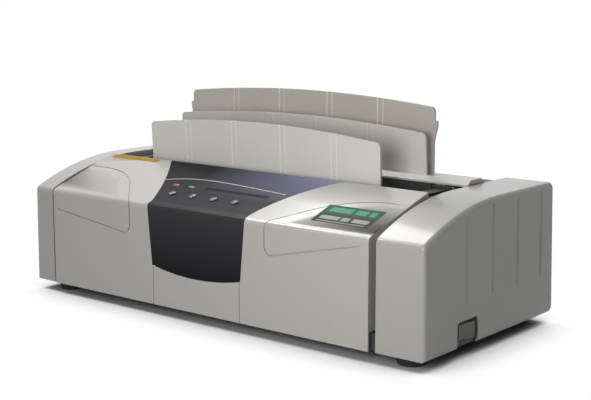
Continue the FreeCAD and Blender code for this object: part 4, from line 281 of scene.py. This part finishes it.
def fascia_paint():
    """Dark satin paint with painted light: the front face is painted greyer towards its top, and a painted
    reflection makes the top pale blue-violet at its right rear.
    """
    material, tree, shader, place = new_material("fascia_paint")
    across, depth, level = axis_values(tree, place)
    low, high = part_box("control_fascia")
    past_fold = spread(tree, depth, 0.0, 1.0, low.y + FOLD_FRONT, low.y + FOLD_REAR)
    rearward = spread(tree, depth, 0.0, 1.0, low.y + REFLECTION_DEPTH, high.y)
    reflection_from = low.x + REFLECTION_WIDTH_SHARE * (high.x - low.x)
    rightward = spread(tree, across, 0.0, 1.0, reflection_from, high.x)
    # Painted reflection: the top turns from near black to pale blue-violet towards its right rear
    rear = blended(tree, rightward, srgb(4, 4, 8), srgb(148, 148, 180))
    top = blended(tree, rearward, srgb(8, 6, 14), rear)
    # Painted light: the front face is painted greyer towards its top
    upward = spread(tree, level, 0.0, 1.0, low.z, high.z)
    front = blended(tree, upward, srgb(10, 10, 14), srgb(64, 64, 65))
    colour = blended(tree, past_fold, front, top)
    speck = texture_node(tree, "Noise", place, Scale=2200.0, Detail=1.0)
    flakes = spread(tree, speck.outputs["Fac"], 0.0, 0.08, 0.4, 0.7)
    tree.links.new(blended(tree, flakes, colour, srgb(96, 98, 110)), shader.inputs["Base Color"])
    wear = texture_node(tree, "Noise", place, Scale=30.0, Detail=4.0)
    tree.links.new(spread(tree, wear.outputs["Fac"], 0.3, 0.4, 0.3, 0.7), shader.inputs["Roughness"])
    bumped(tree, shader, speck.outputs["Fac"], 0.008 * MM)
    shader.inputs["Specular IOR Level"].default_value = 0.05
    shader.inputs["Coat Weight"].default_value = 0.03
    shader.inputs["Coat Roughness"].default_value = 0.12
    return material


def brushed_metal(name, colour, roughness, lines=(40.0, 1600.0, 1600.0)):
    """Metal with fine drawn lines along one axis and a cloudy surface."""
    material, tree, shader, place = new_material(name)
    brush = texture_node(tree, "Noise", stretched(tree, place, lines), Scale=1.0, Detail=3.0)
    cloud = texture_node(tree, "Noise", place, Scale=45.0, Detail=4.0)
    cloudy = spread(tree, cloud.outputs["Fac"], 0.0, 1.0, 0.3, 0.7)
    tree.links.new(blended(tree, cloudy, scaled(colour, 0.85), colour), shader.inputs["Base Color"])
    tree.links.new(spread(tree, brush.outputs["Fac"], roughness - 0.08, roughness + 0.1, 0.3, 0.7),
                   shader.inputs["Roughness"])
    bumped(tree, shader, brush.outputs["Fac"], 0.01 * MM)
    shader.inputs["Metallic"].default_value = 1.0
    return material


def lamp_lens(name, colour, glow):
    """A translucent lens with fine moulded flutes across it."""
    material, tree, shader, place = new_material(name)
    flutes = texture_node(tree, "Wave", place, Scale=260.0, bands_direction="X")
    tone = blended(tree, flutes.outputs["Fac"], scaled(colour, 0.7), colour)
    tree.links.new(tone, shader.inputs["Base Color"])
    tree.links.new(spread(tree, flutes.outputs["Fac"], 0.12, 0.22), shader.inputs["Roughness"])
    bumped(tree, shader, flutes.outputs["Fac"], 0.03 * MM)
    tree.links.new(tone, shader.inputs["Emission Color"])
    shader.inputs["Emission Strength"].default_value = glow
    shader.inputs["Specular IOR Level"].default_value = 0.3
    shader.inputs["Coat Weight"].default_value = 0.3
    return material


def smoked_window():
    """The smoked display window: nearly black and glossy, with a faint smear."""
    material, tree, shader, place = new_material("smoked_window")
    smear = texture_node(tree, "Noise", stretched(tree, place, (30.0, 200.0, 200.0)), Scale=1.0, Detail=3.0)
    tree.links.new(blended(tree, smear.outputs["Fac"], srgb(10, 10, 12), srgb(20, 20, 24)),
                   shader.inputs["Base Color"])
    tree.links.new(spread(tree, smear.outputs["Fac"], 0.3, 0.42), shader.inputs["Roughness"])
    shader.inputs["Specular IOR Level"].default_value = 0.04
    return material


def circuit_board():
    """Green solder mask over angular copper tracks."""
    material, tree, shader, place = new_material("circuit_board")
    tracks = texture_node(tree, "Voronoi", place, Scale=190.0, distance="MANHATTAN")
    line = spread(tree, tracks.outputs["Distance"], 0.0, 1.0, 0.42, 0.5)
    tree.links.new(blended(tree, line, srgb(20, 84, 44), srgb(42, 122, 66)), shader.inputs["Base Color"])
    tree.links.new(spread(tree, line, 0.4, 0.28), shader.inputs["Roughness"])
    bumped(tree, shader, line, 0.03 * MM)
    return material


def wound_copper():
    """Enamelled wire in close turns."""
    material, tree, shader, place = new_material("wound_copper")
    turns = texture_node(tree, "Wave", place, Scale=260.0, bands_direction="Z", Distortion=0.4)
    tree.links.new(blended(tree, turns.outputs["Fac"], srgb(96, 44, 20), srgb(196, 112, 62)),
                   shader.inputs["Base Color"])
    tree.links.new(spread(tree, turns.outputs["Fac"], 0.5, 0.3), shader.inputs["Roughness"])
    bumped(tree, shader, turns.outputs["Fac"], 0.2 * MM)
    shader.inputs["Metallic"].default_value = 0.8
    return material


def mica_sheet():
    """Pressed mica: pale flakes in a tan binder."""
    material, tree, shader, place = new_material("mica_sheet")
    flakes = texture_node(tree, "Voronoi", place, Scale=420.0)
    tone = spread(tree, flakes.outputs["Distance"], 0.0, 1.0, 0.1, 0.7)
    tree.links.new(blended(tree, tone, srgb(204, 194, 164), srgb(150, 134, 96)), shader.inputs["Base Color"])
    tree.links.new(spread(tree, tone, 0.35, 0.6), shader.inputs["Roughness"])
    bumped(tree, shader, tone, 0.05 * MM)
    return material


def plain_film(name, colour, roughness=0.38):
    """Plain adhesive film with a faint crinkle."""
    material, tree, shader, place = new_material(name)
    crinkle = texture_node(tree, "Noise", place, Scale=90.0, Detail=3.0)
    tree.links.new(blended(tree, crinkle.outputs["Fac"], scaled(colour, 0.92), scaled(colour, 1.06)),
                   shader.inputs["Base Color"])
    tree.links.new(spread(tree, crinkle.outputs["Fac"], roughness - 0.05, roughness + 0.08),
                   shader.inputs["Roughness"])
    bumped(tree, shader, crinkle.outputs["Fac"], 0.02 * MM)
    shader.inputs["Specular IOR Level"].default_value = 0.04
    return material


# The badge's plain bars as shares of its width and depth: middle, level, half length, half height
BADGE_BAR_SHARES = [
    (0.30, 0.75, 0.20, 0.13), (0.66, 0.75, 0.10, 0.13), (0.86, 0.75, 0.05, 0.13),
    (0.25, 0.28, 0.17, 0.10), (0.53, 0.28, 0.07, 0.10), (0.79, 0.28, 0.14, 0.10),
    (0.50, 0.07, 0.42, 0.02),
]
BAR_END_SOFT_SHARE = 0.01
BAR_SIDE_SOFT_SHARE = 0.02

# The end of the badge's lower half and the start of its upper half, as shares of its depth
BADGE_SPLIT_SHARES = (0.47, 0.49)


def badge_bars(tree, along, up):
    """A mask of the badge's bars."""
    bars = None
    for middle, level, half_length, half_height in BADGE_BAR_SHARES:
        within_ends = band(tree, along, middle, half_length, BAR_END_SOFT_SHARE)
        within_sides = band(tree, up, level, half_height, BAR_SIDE_SOFT_SHARE)
        bar = math_of(tree, "MULTIPLY", within_ends, within_sides)
        bars = bar if bars is None else math_of(tree, "MAXIMUM", bars, bar)
    return bars


def badge_film():
    """The badge: a green upper half and a dark lower half, each with a few plain pale bars."""
    material, tree, shader, place = new_material("badge_film")
    across, depth = axis_values(tree, place)[:2]
    low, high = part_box("function_badge")
    along = spread(tree, across, 0.0, 1.0, low.x, high.x)
    up = spread(tree, depth, 0.0, 1.0, low.y, high.y)
    upper = spread(tree, up, 0.0, 1.0, *BADGE_SPLIT_SHARES)
    ground = blended(tree, upper, srgb(30, 32, 30), srgb(16, 78, 56))
    ink = blended(tree, upper, srgb(168, 172, 166), srgb(84, 160, 128))
    colour = blended(tree, badge_bars(tree, along, up), ground, ink)
    crinkle = texture_node(tree, "Noise", place, Scale=120.0, Detail=3.0)
    tone = blended(tree, spread(tree, crinkle.outputs["Fac"], 0.0, 0.12, 0.3, 0.7), colour, srgb(0, 0, 0))
    tree.links.new(tone, shader.inputs["Base Color"])
    tree.links.new(spread(tree, crinkle.outputs["Fac"], 0.4, 0.5), shader.inputs["Roughness"])
    bumped(tree, shader, crinkle.outputs["Fac"], 0.015 * MM)
    shader.inputs["Specular IOR Level"].default_value = 0.1
    return material


FINISHES = {
    "silver_cap": painted_silver("cap_paint", srgb(166, 164, 159)),
    "silver_cover": painted_silver("cover_paint", srgb(176, 173, 168)),
    # The support plates are one paint in three tones, painted lighter or darker for the light that falls on
    # each: painted light and shade
    "silver_plate": plate_paint("plate_paint", srgb(222, 219, 211)),
    "silver_bar": painted_silver("bar_paint", srgb(196, 192, 185)),
    "dark_fascia": fascia_paint(),
    "dark_deck": moulded_plastic("deck_plastic", srgb(60, 61, 62), 0.46),
    "button_grey": moulded_plastic("button_plastic", srgb(58, 58, 70), 0.3, grain_scale=1500.0,
                                   grain_depth=0.01 * MM, coat=0.25),
    "red_lens": lamp_lens("red_lens", srgb(190, 34, 30), 0.25),
    "green_lens": lamp_lens("green_lens", srgb(34, 132, 104), 0.15),
    "dark_window": smoked_window(),
    "black_plastic": moulded_plastic("black_plastic", srgb(34, 34, 36), 0.42),
    "foot_rubber": moulded_plastic("foot_rubber", srgb(40, 40, 44), 0.7, grain_scale=500.0,
                                   grain_depth=0.05 * MM),
    "sheet_steel": brushed_metal("plated_steel", srgb(168, 170, 174), 0.42),
    "screw_steel": brushed_metal("screw_steel", srgb(150, 150, 154), 0.32),
    "rod_steel": brushed_metal("ground_steel", srgb(200, 200, 204), 0.2, (900.0, 30.0, 900.0)),
    "cast_aluminium": moulded_plastic("dark_anodised", srgb(58, 59, 60), 0.5, grain_scale=1400.0,
                                      grain_depth=0.01 * MM),
    "bush_bronze": brushed_metal("bronze", srgb(176, 128, 70), 0.42),
    "circuit_board": circuit_board(),
    "mica_board": mica_sheet(),
    "copper_winding": wound_copper(),
    "lead_sleeve": moulded_plastic("lead_sleeve", srgb(134, 30, 26), 0.45, grain_scale=600.0,
                                   grain_depth=0.02 * MM),
    "strip_yellow": plain_film("yellow_film", srgb(172, 124, 0)),
    "badge_film": badge_film(),
}

# Nodes whose tone differs from their slot's
OWN_FINISHES = {
    # Painted light and shade: the front plate's and the cooling rack plate's tones of the one plate paint,
    # for the light that falls on each
    "front_support_plate": plate_paint("front_plate_painted_light", srgb(216, 214, 208)),
    "cooling_rack_plate": plate_paint("rack_plate_painted_shade", srgb(186, 182, 173)),
    "power_rocker": moulded_plastic("rocker_plastic", srgb(124, 121, 117), 0.4),
    "base_pan": moulded_plastic("coated_steel", srgb(58, 58, 60), 0.5, grain_scale=1200.0,
                                grain_depth=0.01 * MM),
}


def dress(piece, node, slot):
    """Give a piece its node's own finish, or else that of its slot in the record."""
    piece.data.materials.clear()
    piece.data.materials.append(OWN_FINISHES.get(node, FINISHES[slot]))


def dress_nodes():
    """Every CAD node takes its finish."""
    for name, piece in frame["nodes"].items():
        dress(piece, name, SLOT_OF[name])


# Geometry

def new_piece(name, data, body, slot, replaced=None):
    """Show a mesh or curve as a piece of the object that rides on a body."""
    piece = bpy.data.objects.new(name, data)
    bpy.context.scene.collection.objects.link(piece)
    dress(piece, replaced, slot)
    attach(piece, body)
    if replaced:
        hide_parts(replaced)
    return piece


# Corners nearer than SAME_PLACE are joined, and faces that turn by less than FLAT_WITHIN are one
SAME_PLACE = 0.002 * MM
FLAT_WITHIN = math.radians(0.4)

# Edges that turn by more than SHARP_FROM are rounded in this many steps, where there is room
SHARP_FROM = math.radians(17.0)
EDGE_SEGMENTS = 3

# The room is in widths: the length of a neighbouring edge that leaves squarely, and a face's breadth
SLIDE_ROOM = 2.3
FACE_ROOM = 2.2

# The least angle in radians, and the least sine, that a corner is reckoned with
LEAST_TURN = 0.05


def welded(node):
    """A node's mesh with its split corners joined and its flat faces whole."""
    shape = bmesh.new()
    shape.from_mesh(frame["nodes"][node].data)
    bmesh.ops.remove_doubles(shape, verts=shape.verts, dist=SAME_PLACE)
    bmesh.ops.dissolve_limit(shape, angle_limit=FLAT_WITHIN, verts=shape.verts, edges=shape.edges)
    return shape


def trimmed_length(edge, corner, chosen, width):
    """How much of an edge rounding takes at a corner, or all of it where a neighbour is too short."""
    worst = 0.0
    for loop in edge.link_loops:
        other = loop.link_loop_prev.edge if loop.vert == corner else loop.link_loop_next.edge
        here = edge.other_vert(corner).co - corner.co
        turn = max(here.angle(other.other_vert(corner).co - corner.co, math.pi), LEAST_TURN)
        if other in chosen:
            worst = max(worst, width / math.tan(turn / 2))
        elif other.calc_length() < SLIDE_ROOM * width / max(math.sin(turn), LEAST_TURN):
            return edge.calc_length() + width
    return worst


def edges_with_room(shape, width):
    """The sharp edges whose faces and neighbouring edges leave room to round them by a width."""
    chosen = set()
    for edge in shape.edges:
        if len(edge.link_faces) == 2 and edge.calc_face_angle() > SHARP_FROM:
            narrower = min(face.calc_area() for face in edge.link_faces) / edge.calc_length()
            if narrower > FACE_ROOM * width:
                chosen.add(edge)
    while True:
        tight = {edge for edge in chosen
                 if sum(trimmed_length(edge, corner, chosen, width) for corner in edge.verts)
                 > edge.calc_length()}
        if not tight:
            return chosen
        chosen -= tight


def mark_edges(shape, width):
    """Mark the edges that the bevel rounds, and keep the other sharp ones crisp."""
    shape.edges.index_update()
    numbers = {edge.index for edge in edges_with_room(shape, width)}
    layer = shape.edges.layers.float.new("bevel_weight_edge")
    for edge in shape.edges:
        rounded = edge.index in numbers
        edge[layer] = 1.0 if rounded else 0.0
        edge.smooth = rounded or edge.calc_face_angle(0.0) < SHARP_FROM
    for face in shape.faces:
        face.smooth = True


def soften(node, width, clamped):
    """Let a copy with its sharp edges rounded stand for a node."""
    shape = welded(node)
    mark_edges(shape, width)
    mesh = bpy.data.meshes.new(node + "_soft")
    shape.to_mesh(mesh)
    shape.free()
    piece = new_piece(node + "_soft", mesh, frame["nodes"][node]["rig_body"], SLOT_OF[node], node)
    bevel = piece.modifiers.new("round_edges", "BEVEL")
    bevel.width = width
    bevel.segments = EDGE_SEGMENTS
    bevel.limit_method = "WEIGHT"
    bevel.use_clamp_overlap = clamped
    weighted = piece.modifiers.new("flat_faces_stay_flat", "WEIGHTED_NORMAL")
    weighted.mode = "FACE_AREA_WITH_ANGLE"
    weighted.weight = 100
    weighted.keep_sharp = True


# Edge rounding in millimetres
ROUNDED_EDGES = {
    "left_end_cap": 0.6, "right_end_cap": 0.6,
    "left_front_cover": 0.5, "right_front_cover": 0.4, "centre_apron": 0.5, "control_fascia": 0.35,
    "front_support_plate": 1.0, "clamp_support_plate": 1.0, "cooling_rack_plate": 0.9,
    "switch_bezel": 0.5, "power_rocker": 0.7, "rubber_feet": 0.7,
    "heating_plate": 0.5, "red_indicator": 0.5, "green_indicator": 0.5, "display_window": 0.15,
}

# These have faces cut up by holes, where a full width could cross, so their rounding is clamped
CLAMPED_EDGES = {
    "clamp_bar": 0.5, "well_liner": 0.5, "rear_housing": 0.5, "base_pan": 0.4, "clamp_jaw": 0.4,
    "power_inlet": 0.5,
}


def soften_shells():
    """Round the edges of every shell and fitting that shows."""
    for widths, clamped in ((ROUNDED_EDGES, False), (CLAMPED_EDGES, True)):
        for node, width in widths.items():
            soften(node, width * MM, clamped)


LABEL_THICKNESS = 0.15 * MM


def on_top(x, y, lift):
    """A place lifted off the cover's sloping top. The two labels lie on that slope."""
    strip_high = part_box("yellow_strip")[1]
    badge_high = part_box("function_badge")[1]
    slope = (strip_high.z - badge_high.z) / (strip_high.y - badge_high.y)
    normal = Vector((0, -slope, 1)).normalized()
    return Vector((x, y, badge_high.z + (y - badge_high.y) * slope)) + normal * (lift - LABEL_THICKNESS)


# The panel line's course from left to right, X and Y in millimetres
PANEL_LINE_COURSE = [(-99.0, -65.2), (-78.0, -57.4), (-46.0, -55.2), (-4.0, -57.2), (58.5, -63.2)]
PANEL_LINE_LIFT = 0.02 * MM
PANEL_LINE_RADIUS = 0.32 * MM


def panel_line():
    """The fine raised line that bounds the control field on the fascia's top."""
    curve = bpy.data.curves.new("panel_line", "CURVE")
    curve.dimensions = "3D"
    spline = curve.splines.new("NURBS")
    spline.points.add(len(PANEL_LINE_COURSE) - 1)
    for point, (x, y) in zip(spline.points, PANEL_LINE_COURSE):
        point.co = (*on_top(x * MM, y * MM, PANEL_LINE_LIFT), 1.0)
    spline.order_u = 4
    spline.use_endpoint_u = True
    curve.resolution_u = 16
    curve.bevel_depth = PANEL_LINE_RADIUS
    curve.bevel_resolution = 3
    new_piece("panel_line", curve, ROOT, "silver_plate")


# Floor, world, lamps and camera

def seen_directly(tree):
    """One where the camera sees a surface, also in a mirror or through glass."""
    path = tree.nodes.new("ShaderNodeLightPath")
    seen = math_of(tree, "MAXIMUM", path.outputs["Is Camera Ray"], path.outputs["Is Glossy Ray"])
    return math_of(tree, "MAXIMUM", seen, path.outputs["Is Transmission Ray"])


def plain_grey(level):
    """A linear grey."""
    return (level, level, level, 1.0)


def mixed_output(tree, factor, first, second, kind):
    """Show one shader turning into another with a factor."""
    mixer = tree.nodes.new("ShaderNodeMixShader")
    tree.links.new(factor, mixer.inputs["Fac"])
    tree.links.new(first, mixer.inputs[1])
    tree.links.new(second, mixer.inputs[2])
    output = tree.nodes.new(kind)
    tree.links.new(mixer.outputs["Shader"], output.inputs["Surface"])


FLOOR_HALF_SIZE = 6.0
FLOOR_CORNER_SIGNS = [(-1, -1), (1, -1), (1, 1), (-1, 1)]
SHADOW_REACH = 0.085

# The openness up to which the floor keeps its whole shadow, and that from which it is white
SHADOW_FADE = (0.35, 0.72)

# The shadowed floor's greys: what throws light up at the object, and what the camera sees
BOUNCE_GREY = 0.4
SEEN_GREY = 0.55


def floor_white():
    """White in the open, and a grey that takes the lamps' shadows close to the object."""
    material = bpy.data.materials.new("floor_white")
    material.use_nodes = True
    tree = material.node_tree
    tree.nodes.clear()
    seen = seen_directly(tree)
    in_the_open = spread(tree, openness(tree, SHADOW_REACH), 0.0, 1.0, *SHADOW_FADE)
    paper = tree.nodes.new("ShaderNodeBsdfDiffuse")
    grey = blended(tree, seen, plain_grey(BOUNCE_GREY), plain_grey(SEEN_GREY))
    tree.links.new(grey, paper.inputs["Color"])
    white = tree.nodes.new("ShaderNodeEmission")
    mixed_output(tree, math_of(tree, "MULTIPLY", seen, in_the_open), paper.outputs["BSDF"],
                 white.outputs["Emission"], "ShaderNodeOutputMaterial")
    return material


def build_floor():
    """The floor, which isn't part of the object."""
    mesh = bpy.data.meshes.new("floor")
    corners = [(x * FLOOR_HALF_SIZE, y * FLOOR_HALF_SIZE, 0) for x, y in FLOOR_CORNER_SIGNS]
    mesh.from_pydata(corners, [], [(0, 1, 2, 3)])
    mesh.materials.append(floor_white())
    floor = bpy.data.objects.new("floor", mesh)
    bpy.context.scene.collection.objects.link(floor)


FILL_COLOUR = (0.95, 0.97, 1.0, 1.0)
FILL_STRENGTH = 0.06


def build_world():
    """White where it is seen or mirrored, and a weak grey fill light elsewhere."""
    world = bpy.data.worlds.new("studio")
    bpy.context.scene.world = world
    world.use_nodes = True
    tree = world.node_tree
    tree.nodes.clear()
    grey = tree.nodes.new("ShaderNodeBackground")
    grey.inputs["Color"].default_value = FILL_COLOUR
    grey.inputs["Strength"].default_value = FILL_STRENGTH
    white = tree.nodes.new("ShaderNodeBackground")
    white.inputs["Color"].default_value = plain_grey(1.0)
    mixed_output(tree, seen_directly(tree), grey.outputs["Background"], white.outputs["Background"],
                 "ShaderNodeOutputWorld")


# Softboxes: place and side in metres, and power in watts
SOFTBOXES = {
    "overhead": ((0.0, 0.0, 1.5), 1.2, 1.5),
    "upper_left": ((-0.75, -0.3, 1.15), 0.3, 8.0),
    "left": ((-0.62, 0.36, 1.05), 0.45, 4.4),
    "front_right": ((0.3, -0.65, 0.25), 0.3, 2.6),
    "rear_right": ((0.9, 0.9, 0.6), 0.5, 0.5),
}
MACHINE_MIDDLE = Vector((0, 0, 0.1))


def build_lights():
    """The softboxes, each turned to the machine."""
    for name, (place, size, power) in SOFTBOXES.items():
        lamp = bpy.data.lights.new(name, "AREA")
        lamp.shape = "SQUARE"
        lamp.size = size
        lamp.energy = power
        holder = bpy.data.objects.new(name, lamp)
        bpy.context.scene.collection.objects.link(holder)
        holder.location = place
        holder.rotation_euler = (MACHINE_MIDDLE - Vector(place)).to_track_quat("-Z", "Y").to_euler()


# The place is in metres, the angles are in degrees, and the lens and sensor in millimetres
CAMERA_PLACE = (0.82034, -0.98138, 0.32895)
CAMERA_TURN = 39.226
CAMERA_DOWN = 9.787
CAMERA_LENS = 77.85
SENSOR_WIDTH = 36.0


def build_camera():
    """The photograph's viewpoint and its long lens."""
    camera = bpy.data.cameras.new("camera")
    camera.sensor_width = SENSOR_WIDTH
    camera.lens = CAMERA_LENS
    holder = bpy.data.objects.new("camera", camera)
    bpy.context.scene.collection.objects.link(holder)
    holder.location = CAMERA_PLACE
    holder.rotation_euler = (math.radians(90 - CAMERA_DOWN), 0.0, math.radians(CAMERA_TURN))
    bpy.context.scene.camera = holder


dress_nodes()
soften_shells()
panel_line()
build_floor()
build_world()
build_lights()
build_camera()
bpy.context.scene.view_settings.view_transform = "Standard"
